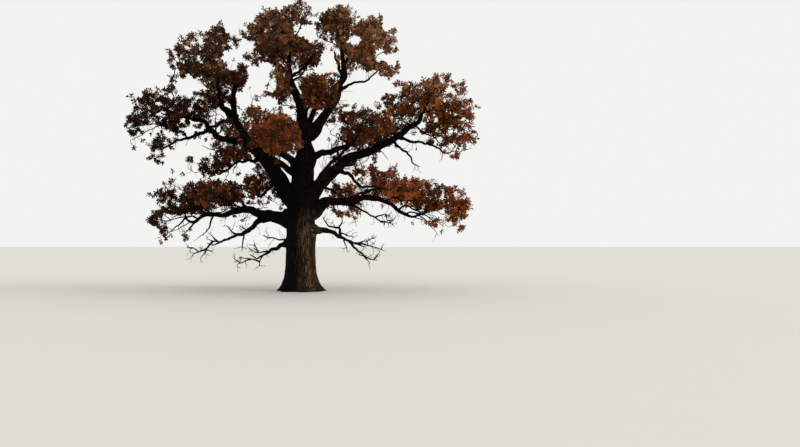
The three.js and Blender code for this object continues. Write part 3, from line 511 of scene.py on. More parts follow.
# %% [markdown]
# ## Side branches
# Crooked side branches fork off the limbs, and show plainly where the leaves are thin. Their kinks
# are given on the same grid. Each starts on its limb, or on a branch before it, and drifts a little
# in depth.
# %% Side branches
# Limb, then a row for each branch: whether it is leafy, its radius at root and tip in mm, and its
# kinks as pairs of squares, right and up
BRANCHES = [
    ("left_droop_limb",
     (1, 50, 15, -116, 154, -119, 160, -124, 161, -131, 160, -136, 164, -142, 167, -150, 163,
      -159, 159, -167, 154, -174, 151)),
    ("left_leader",
     (1, 100, 70, -66, 168, -76, 171, -82, 169, -88, 166, -95, 163),
     (1, 85, 60, -68, 178, -71, 186, -73, 192, -70, 200, -67, 206),
     (1, 60, 45, -72, 188, -78, 194, -84, 200, -87, 204),
     (0, 80, 60, -18, 108, -21, 117, -23, 124, -28, 133, -34, 139)),
    ("centre_leader",
     (0, 190, 150, -5, 112, -11, 120, -18, 126, -26, 130, -34, 133)),
    ("right_stem",
     (1, 110, 50, 41, 209, 38, 221, 34, 233, 31, 241)),
    ("left_mid_limb",
     (1, 35, 15, -73, 123, -75, 116, -77, 112), (1, 35, 15, -65, 127, -69, 121, -70, 117),
     (1, 35, 15, -80, 120, -87, 121, -92, 121)),
    ("left_low_bough",
     (1, 55, 18, -106, 75, -112, 75, -119, 74, -127, 72, -137, 70),
     (0, 60, 22, -116, 73, -122, 68, -129, 63, -132, 59), (0, 60, 22, -107, 69, -112, 64, -116, 59),
     (1, 50, 18, -97, 77, -102, 81, -110, 83, -119, 79, -122, 76),
     (0, 60, 22, -89, 71, -92, 65, -96, 60, -100, 56),
     (1, 60, 20, -57, 84, -66, 85, -72, 86, -76, 87, -82, 84, -89, 83)),
    ("left_dead_bough",
     (0, 63, 21, -64, 55, -70, 59, -74, 64, -78, 65),
     (0, 51, 21, -58, 57, -59, 51, -60, 45, -61, 39), (0, 45, 21, -56, 62, -60, 64, -63, 65),
     (0, 51, 21, -87, 48, -91, 50, -96, 52),
     (0, 63, 21, -91, 44, -99, 40, -104, 39, -109, 36, -112, 34),
     (0, 42, 18, -104, 40, -109, 43, -116, 43), (0, 42, 18, -93, 40, -97, 37, -102, 33),
     (0, 51, 18, -85, 50, -89, 54, -93, 57)),
    ("left_bare_limb",
     (0, 57, 18, -34, 41, -42, 39, -50, 40), (0, 45, 18, -44, 39, -47, 44, -49, 48),
     (0, 45, 18, -44, 33, -43, 28, -42, 25), (0, 51, 18, -49, 32, -57, 33, -64, 34),
     (0, 48, 18, -52, 31, -59, 29, -65, 26)),
    ("right_bare_bough",
     (0, 82, 24, 37, 53, 38, 61, 35, 64, 28, 64, 23, 69, 20, 74),
     (0, 54, 18, 37, 63, 40, 69, 40, 77),
     (0, 75, 21, 48, 50, 52, 44, 56, 40, 62, 36, 66, 33, 72, 31, 76, 30),
     (0, 45, 18, 60, 36, 64, 32, 68, 27), (0, 51, 18, 41, 51, 43, 45, 45, 42),
     (0, 57, 18, 56, 48, 64, 50, 70, 52, 74, 55), (0, 63, 18, 53, 48, 63, 46, 71, 44, 82, 40),
     (0, 54, 18, 38, 58, 45, 56, 52, 53)),
    ("right_dead_limb",
     (0, 54, 18, 74, 75, 81, 77, 88, 76), (0, 51, 18, 83, 70, 89, 68, 92, 64),
     (0, 42, 18, 84, 77, 85, 70)),
    ("right_low_bough",
     (1, 55, 16, 105, 77, 111, 80, 118, 74, 125, 71, 128, 65, 134, 60),
     (1, 60, 16, 98, 85, 106, 86, 111, 81, 118, 79, 128, 73, 135, 69, 143, 65),
     (1, 38, 14, 118, 79, 128, 80, 138, 81), (1, 55, 18, 83, 94, 91, 94, 98, 91, 108, 91, 116, 87)),
    ("right_bough",
     (0, 90, 24, 91, 150, 98, 143, 106, 139, 110, 131, 114, 125, 118, 125),
     (1, 45, 16, 30, 109, 36, 104, 41, 98),
     (1, 60, 16, 122, 153, 126, 157, 132, 155, 138, 149, 144, 145, 150, 141)),
    ("centre_leader",
     (1, 120, 40, -19, 219, -26, 229, -32, 238, -35, 245, -42, 253, -49, 260),
     (1, 90, 40, -5, 217, 1, 224, 7, 232, 11, 240)),
    ("right_stem",
     (1, 100, 50, 42, 221, 48, 229, 51, 236)),
    ("left_leader",
     (1, 30, 12, -60, 163, -52, 173, -53, 183, -50, 193, -48, 198)),
    ("centre_leader",
     (1, 160, 110, 3, 162, 8, 173, 13, 183, 18, 194)),
    ("right_bough",
     (1, 35, 12, 50, 128, 54, 123, 58, 119, 64, 114)),
    ("right_drop_limb",
     (1, 30, 12, 58, 112, 62, 118, 67, 124)),
    ("left_inner_limb",
     (1, 25, 10, -40, 98, -34, 92, -28, 90, -22, 84)),
    ("centre_leader",
     (1, 70, 40, -6, 211, 0, 218, 3, 227)),
    ("right_low_bough",
     (0, 35, 14, 103, 76, 116, 72, 123, 71, 130, 64, 137, 55),
     (1, 35, 12, 109, 78, 123, 76, 138, 69, 148, 63),
     (1, 40, 12, 84, 94, 96, 96, 109, 91, 123, 84, 137, 79, 150, 73, 160, 71),
     (0, 28, 12, 113, 82, 130, 76, 143, 69)),
    ("left_low_bough",
     (1, 35, 12, -104, 69, -117, 67, -125, 61, -139, 57, -144, 53),
     (1, 30, 12, -108, 76, -117, 79, -127, 75, -135, 69, -147, 69),
     (0, 28, 12, -106, 68, -113, 62, -120, 56)),
    ("left_upper_limb",
     (1, 40, 14, -100, 214, -112, 222, -122, 230, -128, 238),
     (1, 40, 14, -92, 232, -100, 243, -108, 252), (1, 40, 12, -84, 245, -84, 256, -82, 265)),
    ("left_low_bough",
     (1, 35, 12, -92, 86, -102, 96, -110, 102, -118, 105),
     (1, 30, 12, -108, 96, -118, 100, -128, 105, -134, 109)),
    ("left_droop_limb",
     (1, 35, 12, -136, 164, -150, 168, -163, 166, -177, 163)),
    ("left_upper_limb",
     (1, 35, 12, -100, 221, -113, 227, -123, 226, -129, 223)),
    ("centre_leader",
     (1, 50, 14, -14, 250, -24, 264, -34, 274, -42, 279)),
    ("right_stem",
     (1, 40, 12, 38, 247, 30, 250, 22, 252, 15, 256), (1, 40, 12, 38, 262, 28, 268, 19, 271)),
    ("right_bough",
     (1, 45, 12, 128, 166, 144, 169, 158, 164, 170, 158)),
    ("right_low_bough",
     (1, 35, 12, 108, 88, 120, 96, 132, 102, 142, 106),
     (1, 30, 12, 123, 84, 140, 86, 154, 84, 164, 80)),
    ("centre_leader",
     (1, 30, 12, -19, 179, -22, 188, -25, 196, -30, 203)),
    ("right_stem",
     (1, 30, 12, 26, 179, 36, 177, 48, 178)),
    ("right_bough",
     (1, 30, 12, 70, 135, 64, 130, 56, 126), (1, 30, 12, 78, 141, 83, 136, 86, 131)),
    ("right_low_bough",
     (1, 30, 12, 33, 85, 31, 80, 36, 75), (1, 30, 12, 46, 85, 50, 78, 52, 71, 55, 64),
     (1, 28, 12, 56, 86, 60, 81)),
    ("left_leader",
     (1, 35, 12, -37, 119, -46, 115, -54, 109), (1, 35, 12, -32, 103, -40, 97, -50, 92)),
    ("left_mid_limb",
     (1, 30, 12, -89, 123, -99, 119, -108, 119, -115, 123)),
    ("centre_leader",
     (1, 60, 16, -14, 251, -15, 266, -18, 279, -14, 287),
     (1, 60, 16, -12, 246, -4, 263, 2, 276, 6, 283)),
    ("right_stem",
     (1, 50, 14, 38, 261, 44, 273, 49, 281), (1, 50, 14, 38, 259, 31, 271, 29, 280),
     (1, 60, 14, 43, 229, 55, 246, 65, 261, 74, 269)),
    ("left_bough",
     (1, 50, 14, -112, 173, -127, 179, -142, 185, -154, 188)),
    ("right_bough",
     (1, 60, 14, 122, 181, 128, 193, 132, 205, 135, 214),
     (1, 55, 14, 122, 179, 138, 183, 153, 179, 166, 173)),
]
# Whose branches stand clear of the leaves too, how far along, and by how much
CLEAR_OF = ("left_low_bough", "right_low_bough", "left_droop_limb", "left_mid_limb", "right_bough")
CLEAR_SHARE, CLEAR_MARGIN = 0.9, 0.01
BRANCH_DRIFT = 0.5  # the most that a branch goes in depth, as a share of its way
BRANCH_STEP = 0.06
WOOD_SHARES = np.linspace(0, 1, 160)  # where a branch may leave its limb


def branch_route(wood, kinks, root, tip, turn):
    """A branch through its kinks, from the nearest of some points of wood."""
    flat = GRID * np.array(kinks, float).reshape(-1, 2)
    start = wood[np.argmin(np.linalg.norm(on_trunk_plane(wood) - flat[0], axis=1))]
    gone = way_along(flat)
    depth = start[1] + BRANCH_DRIFT * turn * gone
    reach = 1 - depth[:, None] / STANDPOINT[1]
    spread = STANDPOINT[[0, 2]] + (flat - STANDPOINT[[0, 2]]) * reach
    points = np.column_stack([spread[:, 0], depth, spread[:, 1]])
    points[0] = start
    return Route(evenly(points, max(8, int(gone[-1] / BRANCH_STEP))), root * MM, tip * MM)


rng = np.random.default_rng(31)
branches = []
for limb_name, *rows in BRANCHES:
    for leafy, root, tip, *kinks in rows:
        before = [branch for name, _, branch in branches if name == limb_name]
        wood = np.vstack([carrier.at(WOOD_SHARES) for carrier in [routes[limb_name]] + before])
        branch = branch_route(wood, kinks, root, tip, rng.uniform(-1, 1))
        branches.append((limb_name, leafy, branch))
for name, _, branch in branches:
    if name in CLEAR_OF:
        lanes.append(lane_spots(branch, 0, CLEAR_SHARE, CLEAR_MARGIN))
LANES = np.vstack(lanes)
print("side branches:", len(branches))

# %% Branches in depth
# Limb, the share of it where one branch leaves to the front and one to the back, and their length
DEEP = [
    ("left_leader", 0.6, 3.0), ("left_leader", 0.95, 2.6), ("centre_leader", 0.45, 3.0),
    ("centre_leader", 0.62, 3.0), ("centre_leader", 0.78, 2.8), ("centre_leader", 0.95, 2.4),
    ("right_stem", 0.3, 2.8), ("right_stem", 0.6, 3.0), ("right_stem", 0.85, 2.6),
    ("right_bough", 0.5, 3.0), ("right_bough", 0.75, 3.0), ("right_bough", 0.95, 2.8),
    ("right_low_bough", 0.6, 2.8), ("right_low_bough", 0.85, 2.6), ("left_low_bough", 0.55, 2.8),
    ("left_low_bough", 0.85, 2.6), ("left_bough", 0.45, 2.6), ("left_bough", 0.9, 2.8),
    ("left_upper_limb", 0.5, 2.6), ("left_upper_limb", 0.9, 2.6), ("left_mid_limb", 0.7, 2.6),
    ("right_inner_limb", 0.7, 2.8),
]
DEEP_RADII = (0.05, 0.014)
DEEP_POINTS, DEEP_WOBBLE = 10, 0.09
WELL_INSIDE = 0.85  # how near to a lobe's middle counts as behind it
CROWN_FRONT = np.column_stack([on_trunk_plane(ALL_MIDDLES), ALL_HALVES[:, [0, 2]]])


def behind_crown(points):
    """Whether points are seen within some lobe's outline from the front."""
    out = (on_trunk_plane(points)[:, None] - CROWN_FRONT[:, :2]) / CROWN_FRONT[:, 2:]
    return np.linalg.norm(out, axis=-1).min(axis=1) < WELL_INSIDE


rng = np.random.default_rng(32)
deep_branches = []
for limb_name, share, length in DEEP:
    for side in (-1, 1):
        t = np.linspace(0, 1, DEEP_POINTS)[:, None]
        way = unit(np.array([rng.uniform(-0.4, 0.4), side, rng.uniform(0.05, 0.45)]))
        wobble = rng.normal(0, DEEP_WOBBLE, (DEEP_POINTS, 3)) * t
        points = routes[limb_name].at(share) + way * length * t + wobble
        deep_branches.append(Route(evenly(points, 40), *DEEP_RADII))
print("branches in depth:", len(deep_branches))

# %% [markdown]
# ## Growing the twigs
# A tree reaches its leaves by the shortest wood that it can. Each clump, nearest first, is joined
# to the wood that is near it and not a long way round from the stem, and the new twig offers forks
# to the next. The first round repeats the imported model's clumps. The second grows far more twigs by
# the same rule, from forks along the first. A little sway keeps them from being straight sticks.
# %% Clumps
# How many places are tried for a clump, and how far it keeps from a lobe's middle and surface
CLUMPS = dict(candidates=14, shell=0.15, inset=0.33, least=0.45)
SPACE_MARGIN = 0.06


def clump_points(index, draw, counts, inset, margin):
    """Where a mass's twigs end: for each, of some drawn places, the one farthest from the rest."""
    spec = MASSES[index]
    found = np.zeros((0, 3))
    for middle, half, count in zip(spec["middle"], spec["half"], counts):
        room = half - inset
        room[2] = max(room[2], CLUMPS["least"] * half[2])
        for _ in range(count):
            draws = draw(CLUMPS["candidates"])
            rise = np.degrees(np.arcsin(2 * draws[:, 0] - 1))
            out = np.cbrt(CLUMPS["shell"] + (1 - CLUMPS["shell"]) * draws[:, 1])
            points = heading_vector(360 * draws[:, 2], rise) * out[:, None] * room + middle
            points = points[in_space(index, points, margin)]
            if margin == 0 and not spec["bare"]:
                points = points[~sparse(points)]
            if not len(points):
                continue
            space = np.full(len(points), 1e6)
            if len(found):
                space = np.linalg.norm(points[:, None] - found, axis=-1).min(axis=1)
            found = np.vstack([found, points[np.argmax(space)]])
    return found


# How much denser or thinner than the rest some masses are
DENSITY = dict(
    crown_right_mass=1.1, far_left_mass=1.15, upper_left_mass=0.9, front_centre_mass=1.5,
    front_left_mass=1.2, top_left_mass=0.9, far_right_mass=1.3, left_mid_mass=0.85,
    left_droop_mass=0.6, right_under_mass=0.75, front_low_left_mass=0.5, front_low_right_mass=0.5,
    front_right_mass=0.6, right_inner_mass=0.8,
)
LOBE_DENSITY = np.array([DENSITY.get(spec["name"], 1) for spec in MASSES for _ in spec["middle"]])
# Scale and level of the broad and the fine hollows, where a lobe's rim starts and how much it adds
HOLLOWS = dict(scale=1.05, level=-0.26, fine_scale=2.9, fine_level=-0.2, rim=0.7, edge=0.3,
               filled=0.25)


def sparse(points):
    """Whether places lie in the crown's seeded hollows, which bite deeper toward a lobe's edge."""
    out = out_of_lobes(points)
    filled = HOLLOWS["filled"] * (LOBE_DENSITY[out.argmin(axis=1)] - 1)
    rim = HOLLOWS["edge"] * np.maximum(out.min(axis=1) - HOLLOWS["rim"], 0)
    broad = soft_noise(points, HOLLOWS["scale"]) < HOLLOWS["level"] + rim - filled
    small = soft_noise(points, HOLLOWS["fine_scale"]) < HOLLOWS["fine_level"] + rim - filled
    return broad | small


# %% Twigs
class Twigs:
    """Swaying twigs, a row for each: its ends, two sideways bends, and the radius at each end."""

    def __init__(self):
        self.rows = []

    def add(self, start, end, bends, root, tip):
        self.rows.append(np.concatenate([start, end, bends[0], bends[1], [root, tip]]))

    def table(self):
        return np.array(self.rows).reshape(-1, 14)


def places(table, shares):
    """Points along each twig of a table, at shares that are one row per twig."""
    t = shares[..., None]
    start, end, bow, wriggle = (table[:, None, k : k + 3] for k in (0, 3, 6, 9))
    return start + (end - start) * t + bow * np.sin(np.pi * t) + wriggle * np.sin(2 * np.pi * t)


def sideways_bends(start, end, sway, draws):
    """Two bends across a twig, in proportion to its length. Twigs bow upward more than down."""
    line = end - start
    length = np.linalg.norm(line)
    across = [unit(np.cross(line, d - 0.5 + 1e-3)) * length * sway for d in draws]
    lift = UP - line * line[2] / max(length, 1e-6) ** 2
    return across[0] + lift * length * sway * 0.4, across[1] * 0.5


# %% How twigs grow
LONG_WAY = 0.4  # how much a long way round from the stem counts against a fork
TESTED = np.array([0.25, 0.5, 0.75, 1])  # where along a new twig its room is tested


def grow(index, ends, forks, twigs, rng, rule):
    """Joins each end to its best fork. Forks are rows of x, y, z, way from the root, and radius."""
    forks = [np.asarray(fork, float) for fork in forks]
    root = stems[index].at(0)
    for end in sorted(ends, key=lambda point: np.linalg.norm(point - root)):
        table = np.array(forks)
        cost = np.linalg.norm(table[:, :3] - end, axis=1) + LONG_WAY * table[:, 3]
        best = table[np.argmin(cost)]
        start, way, radius = best[:3], best[3], max(rule["share"] * best[4], rule["least"])
        test = start + (end - start) * TESTED[:, None]
        inside = in_space(index, test[1:], rule["margin"])
        if blocked(test, rule["clear"], index).any() or not inside.all() or in_window(test[-1:])[0]:
            continue
        bends = sideways_bends(start, end, rule["sway"], rng.random((2, 3)))
        twigs.add(start, end, bends, radius, rule["tip"])
        row = twigs.rows[-1][None]
        far = np.linalg.norm(end - start)
        for share in rule["forks"]:
            place = places(row, np.array([[share]]))[0, 0]
            thick = radius + (rule["tip"] - radius) * share
            forks.append(np.concatenate([place, [way + share * far, thick]]))
    return forks


# %% Two rounds of growth
FIRST = dict(share=0.6, least=0.028, tip=0.014, margin=SPACE_MARGIN, clear=0.077, sway=0.11,
             forks=(0.3, 0.5, 0.65, 0.8, 0.95))
SECOND = dict(share=0.55, least=0.011, tip=0.006, margin=0, clear=0.05, sway=0.12,
              forks=(0.35, 0.6, 0.85))
BARE_FIRST = {**FIRST, "least": 0.035, "tip": 0.02, "sway": 0.06}
BARE_SECOND = {**SECOND, "least": 0.022, "tip": 0.012, "sway": 0.06}
FINE_CLUMPS, BARE_CLUMPS = 7.6, 0.8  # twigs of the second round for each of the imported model's
FINE_INSET = 0.2
STEM_FORKS = np.array([0.3, 0.45, 0.6, 0.78, 0.92, 1.0])
BRANCH_FORKS = np.linspace(0.15, 1, 8)
coarse, fine, bare = Twigs(), Twigs(), Twigs()
for index, spec in enumerate(MASSES):
    random = seeded(1000 + 37 * index)
    rng = np.random.default_rng(500 + index)
    stem = stems[index]
    way = STEM_FORKS * stem.length()
    forks = [np.column_stack([stem.at(STEM_FORKS), way, stem.radius(STEM_FORKS)])]
    for _, _, branch in branches:
        way, thick = 0.4 * BRANCH_FORKS * branch.length(), 0.8 * branch.radius(BRANCH_FORKS)
        spots = np.column_stack([branch.at(BRANCH_FORKS), way, thick])
        forks.append(spots[in_space(index, spots[:, :3], 0)])
    if spec["bare"]:
        rules, kinds, insets = (BARE_FIRST, BARE_SECOND), (bare, bare), (0, 0)
        fineness = BARE_CLUMPS
    else:
        rules, kinds, insets = (FIRST, SECOND), (coarse, fine), (CLUMPS["inset"], FINE_INSET)
        fineness = FINE_CLUMPS * DENSITY.get(spec["name"], 1)
    counts = (spec["clumps"], np.round(spec["clumps"] * fineness).astype(int))
    draws = (
        lambda n: np.array([[next(random) for _ in range(3)] for _ in range(n)]),
        lambda n: rng.random((n, 3)),
    )
    forks = np.vstack(forks)
    for k, margin in enumerate((SPACE_MARGIN, 0)):
        ends = clump_points(index, draws[k], counts[k], insets[k], margin)
        forks = grow(index, ends, forks, kinds[k], rng, rules[k])
print("coarse twigs:", len(coarse.rows), "fine:", len(fine.rows), "bare:", len(bare.rows))

# %% [markdown]
# ## Leafy shoots on the limbs
# Light that reaches a limb's own bark wakes buds there, so the boughs of an old oak carry short
# leafy shoots between the big masses. They hide the joins and fill the edges of the crown. Under
# the low boughs the shoots are dead, and hang bare.
# %% Shoots on the limbs
# From which share of a limb to which, how many shoots, how long they are, and how much they rise
LEAFY_SHOOTS = dict(
    centre_leader=(0.3, 0.97, 56, 0.75, 0.3), left_leader=(0.42, 1, 34, 0.65, 0.3),
    right_stem=(0.3, 1, 34, 0.65, 0.3), right_bough=(0.36, 1, 60, 0.8, 0.9),
    right_low_bough=(0.45, 1, 46, 0.7, 0.9), left_low_bough=(0.42, 1, 40, 0.7, 0.8),
    left_bough=(0.3, 1, 26, 0.65, 0.6), left_upper_limb=(0.2, 1, 22, 0.6, 0.3),
    left_mid_limb=(0.3, 1, 16, 0.55, 0.5), left_droop_limb=(0.2, 1, 14, 0.5, 0),
    left_inner_limb=(0.4, 1, 10, 0.5, 0.2), right_inner_limb=(0.35, 1, 26, 0.65, 0.6),
    right_drop_limb=(0.45, 1, 12, 0.5, 0.2), right_under_limb=(0.3, 1, 14, 0.5, 0),
    elbow_limb=(0.6, 1, 12, 0.5, 0.5), front_bough=(0.45, 1, 34, 0.8, 0.4),
    front_right_bough=(0.45, 1, 34, 0.8, 0.4), back_left_bough=(0.35, 1, 50, 0.9, 0.4),
    back_right_bough=(0.35, 1, 50, 0.9, 0.4),
)
DEAD_SHOOTS = dict(
    right_low_bough=(0.4, 1, 14, 0.6, -1.1), left_low_bough=(0.35, 1, 14, 0.6, -1.1),
    right_under_limb=(0.1, 1, 9, 0.45, -0.7), right_drop_limb=(0.2, 1, 8, 0.45, -0.7),
    left_droop_limb=(0.1, 1, 8, 0.45, -0.6), left_dead_bough=(0.3, 1, 6, 0.3, 0.3),
    left_bare_limb=(0.4, 1, 4, 0.25, 0.3), left_snag=(0.3, 1, 6, 0.35, 0.4),
    right_bare_bough=(0.5, 1, 5, 0.3, 0.4), right_dead_limb=(0.2, 1, 6, 0.35, 0),
)

# %% Putting the shoots on
SHOOT = dict(lean=0.45, lengths=(0.55, 1.25), room=0.05, sway=0.12, thick=0.013, tip=0.006)
rng = np.random.default_rng(77)


def put_shoots(route, low, high, count, length, rise, leafy, thick=SHOOT["thick"], hidden=False):
    """Shoots from a limb's side, fewer where they would stand out or hang in a window."""
    for share in rng.uniform(low, high, count):
        start = route.at(share)
        tangent = unit(route.at(min(share + 0.02, 1)) - route.at(max(share - 0.02, 0)))
        outward = unit(np.cross(tangent, rng.normal(size=3)) + rise * UP)
        reach = route.radius(share) + length * rng.uniform(*SHOOT["lengths"])
        end = start + unit(outward + SHOOT["lean"] * tangent) * reach
        outside = (end < cad_box[0]).any() or (end > cad_box[1]).any()
        if outside or in_window(end[None])[0] or blocked(end[None], SHOOT["room"])[0]:
            continue
        if hidden and not behind_crown(end[None])[0]:
            continue
        bends = sideways_bends(start, end, SHOOT["sway"], rng.random((2, 3)))
        (fine if leafy else bare).add(start, end, bends, thick, SHOOT["tip"])


for table, leafy in ((LEAFY_SHOOTS, True), (DEAD_SHOOTS, False)):
    for name, numbers in table.items():
        put_shoots(routes[name], *numbers, leafy)
for branch in deep_branches:
    put_shoots(branch, 0.3, 1, int(branch.length() * 6), 0.65, 0.4, True, hidden=True)
side_stems = [stem for spec, stem in zip(MASSES, stems) if spec["at"] != 1]
for stem in side_stems:
    put_shoots(stem, 0.15, 1, 16, 0.6, 0.4, True)
for _, leafy, branch in branches:
    if leafy:
        put_shoots(branch, 0.25, 1, int(branch.length() / 0.1), 0.45, 0.3, True)
    else:
        put_shoots(branch, 0.3, 1, 1 + int(branch.length() / 0.35), 0.25, 0.1, False, 0.02)
print("with shoots, fine twigs:", len(fine.rows), "bare:", len(bare.rows))

# %% [markdown]
# ## Sprays
# An oak bears its leaves in tufts, crowded at the ends of the year's short shoots. Each fine twig
# gets a spray at its end and others along it, pointing on and outward. A spray that would leave the
# crown's space, cross a limb or hang in a sky window is left out.
# %% Shoots that carry the sprays
SPRAY_SHARES = np.array([0.42, 0.6, 0.74, 0.88, 1.0])
BARE_SHARES = np.array([0.6, 1.0])
SPRAY_RADII, BARE_RADII = (0.006, 0.003), (0.014, 0.008)
SPRAY_ROOM = 0.07
SPRAY = dict(strays=0.035, nearest=0.2, tip_lean=0.35, leans=(0.7, 1.3), rise=0.18, bow=0.08)
NEAR = 0.03  # a little before and after a place, to find which way a twig runs there


def spray_shoots(table, shares, lengths, spread, seed):
    """Short shoots off each twig, the last at its tip: rows of start, end, bends and radii."""
    rng = np.random.default_rng(seed)
    count = len(table)
    strays = rng.normal(0, SPRAY["strays"], (count, len(shares)))
    at = np.clip(shares + strays, SPRAY["nearest"], 1.0)
    at[:, -1] = 1.0
    start = places(table, at)
    onward = unit(places(table, np.minimum(at + NEAR, 1 + NEAR)) - places(table, at - NEAR))
    side = unit(np.cross(onward, rng.normal(size=onward.shape)))
    lean = np.where(shares < 1, spread, SPRAY["tip_lean"]) * rng.uniform(*SPRAY["leans"], at.shape)
    direction = unit(onward + side * lean[..., None] + SPRAY["rise"] * UP)
    length = rng.uniform(*lengths, at.shape)[..., None]
    end = start + direction * length
    bow = unit(np.cross(direction, rng.normal(size=direction.shape))) * length * SPRAY["bow"]
    radii = np.broadcast_to(SPRAY_RADII, (*at.shape, 2))
    return np.concatenate([start, end, bow, 0 * bow, radii], axis=-1).reshape(-1, 14)


fine_table = fine.table()
shoots = spray_shoots(fine_table, SPRAY_SHARES, (0.10, 0.25), 1.3, 900)
tips = shoots[:, 3:6]
near_limb = np.concatenate([blocked(part, SPRAY_ROOM) for part in np.array_split(tips, 12)])
within = ((tips > cad_box[0]) & (tips < cad_box[1])).all(axis=1)
keep = within & ~near_limb & ~in_window(tips) & ~in_lane(tips) & ~sparse(tips)
shoots = shoots[keep]
bare_shoots = spray_shoots(bare.table(), BARE_SHARES, (0.1, 0.28), 1.2, 901)
bare_shoots[:, 12:14] = BARE_RADII
print("sprays:", len(shoots), "bare shoots:", len(bare_shoots))

# %% [markdown]
# ## The oak leaf
# The leaf is drawn once, a metre long: a stalk end, three rounded lobes and two bays a side, and a
# tip. Two halves meet in a crease along the midrib. Dry leaves cup and droop, so the lobes lift off
# the plane by an amount that differs from leaf to leaf. At ten triangles it still reads as an oak
# leaf. Inside a spray, where only edges show, a leaf with one bay a side does, at six.
# %% Outlines of a leaf
HALF_LEAF = np.array([
    (0.16, 0.28, 0.05),
    (0.10, 0.38, 0.02),
    (0.33, 0.57, 0.12),
    (0.15, 0.68, 0.04),
    (0.25, 0.86, 0.06),
])
HALF_INNER = np.array([(0.27, 0.40, 0.08), (0.13, 0.56, 0.03), (0.26, 0.80, 0.08)])
# Corner 0 is the stalk's end, then come one side, the tip and the other side.
LEAF_FACES = np.array([
    (0, 1, 2), (2, 3, 4), (4, 5, 6), (0, 2, 6), (2, 4, 6),
    (0, 8, 7), (8, 10, 9), (10, 6, 11), (0, 6, 8), (8, 6, 10),
])
INNER_FACES = np.array([(0, 1, 2), (2, 3, 4), (0, 2, 4), (0, 6, 5), (6, 4, 7), (0, 4, 6)])


def whole_leaf(half):
    return np.vstack([[(0, 0, 0)], half, [(0, 1, -0.10)], half * (-1, 1, 1)])


PATTERNS = [(whole_leaf(HALF_INNER), INNER_FACES), (whole_leaf(HALF_LEAF), LEAF_FACES)]
print("corners of an inner and an outer leaf:", [len(pattern) for pattern, _ in PATTERNS])

# %% Leaves of every spray
LEAVES_PER_SPRAY, INNER_LEAVES = 9, 5
LEAF_LENGTH, LEAF_CURL = (0.12, 0.18), (-0.7, 1.9)
# Degrees that the first and the last leaf lean off the shoot, and how much leaves stray from
# that, hang, face the sky and tumble
LEAN = dict(first=78, last=35, strays=14, droop=0.22, lift=0.5, tumble=0.55)
LEAF_FROM, LEAF_STRAYS, TURN_STRAYS = 0.3, 0.04, 0.3
GOLDEN = math.radians(137.5)


def spray_leaves(shoots, seed):
    """A row for every leaf: its base, its side, onward and facing directions, length and curl."""
    rng = np.random.default_rng(seed)
    shape = (len(shoots), LEAVES_PER_SPRAY)
    share = np.linspace(LEAF_FROM, 1.0, LEAVES_PER_SPRAY) + rng.normal(0, LEAF_STRAYS, shape)
    base = places(shoots, share)
    axis = unit(shoots[:, 3:6] - shoots[:, 0:3])[:, None, :]
    across = unit(np.cross(axis, rng.normal(size=(shape[0], 1, 3))))
    turn = GOLDEN * np.arange(LEAVES_PER_SPRAY) + rng.uniform(0, 2 * np.pi, (shape[0], 1))
    turn = (turn + rng.normal(0, TURN_STRAYS, shape))[..., None]
    outward = across * np.cos(turn) + np.cross(axis, across) * np.sin(turn)
    lean = np.linspace(LEAN["first"], LEAN["last"], LEAVES_PER_SPRAY)
    lean = np.radians(lean + rng.normal(0, LEAN["strays"], shape))[..., None]
    direction = unit(axis * np.cos(lean) + outward * np.sin(lean) - LEAN["droop"] * UP)
    facing = unit(axis + LEAN["lift"] * UP + LEAN["tumble"] * rng.normal(size=direction.shape))
    side = unit(np.cross(direction, facing))
    length = rng.uniform(*LEAF_LENGTH, shape)
    curl = rng.uniform(*LEAF_CURL, shape)
    frames = [base, side, direction, np.cross(side, direction), length[..., None], curl[..., None]]
    return np.concatenate(frames, axis=-1).reshape(-1, 14)


def leaf_corners(frames, pattern):
    """Corners of leaves of one pattern, a row of them to each frame."""
    base, side, direction, normal = (frames[:, None, k : k + 3] for k in (0, 3, 6, 9))
    x, y, z = (pattern[None, :, k, None] for k in range(3))
    shape = side * x + direction * y + normal * z * frames[:, 13, None, None]
    return base + shape * frames[:, 12, None, None]


leaves = spray_leaves(shoots, 902)
leaf_spray = np.repeat(np.arange(len(shoots)), LEAVES_PER_SPRAY)
leaf_outer = np.tile(np.arange(LEAVES_PER_SPRAY) >= INNER_LEAVES, len(shoots))
leaf_middles = leaves[:, 0:3] + 0.5 * leaves[:, 6:9] * leaves[:, 12:13]
leaf_kept = ~in_window(leaf_middles) & ~in_lane(leaf_middles)
print("leaves:", int(leaf_kept.sum()), "of", len(leaves))

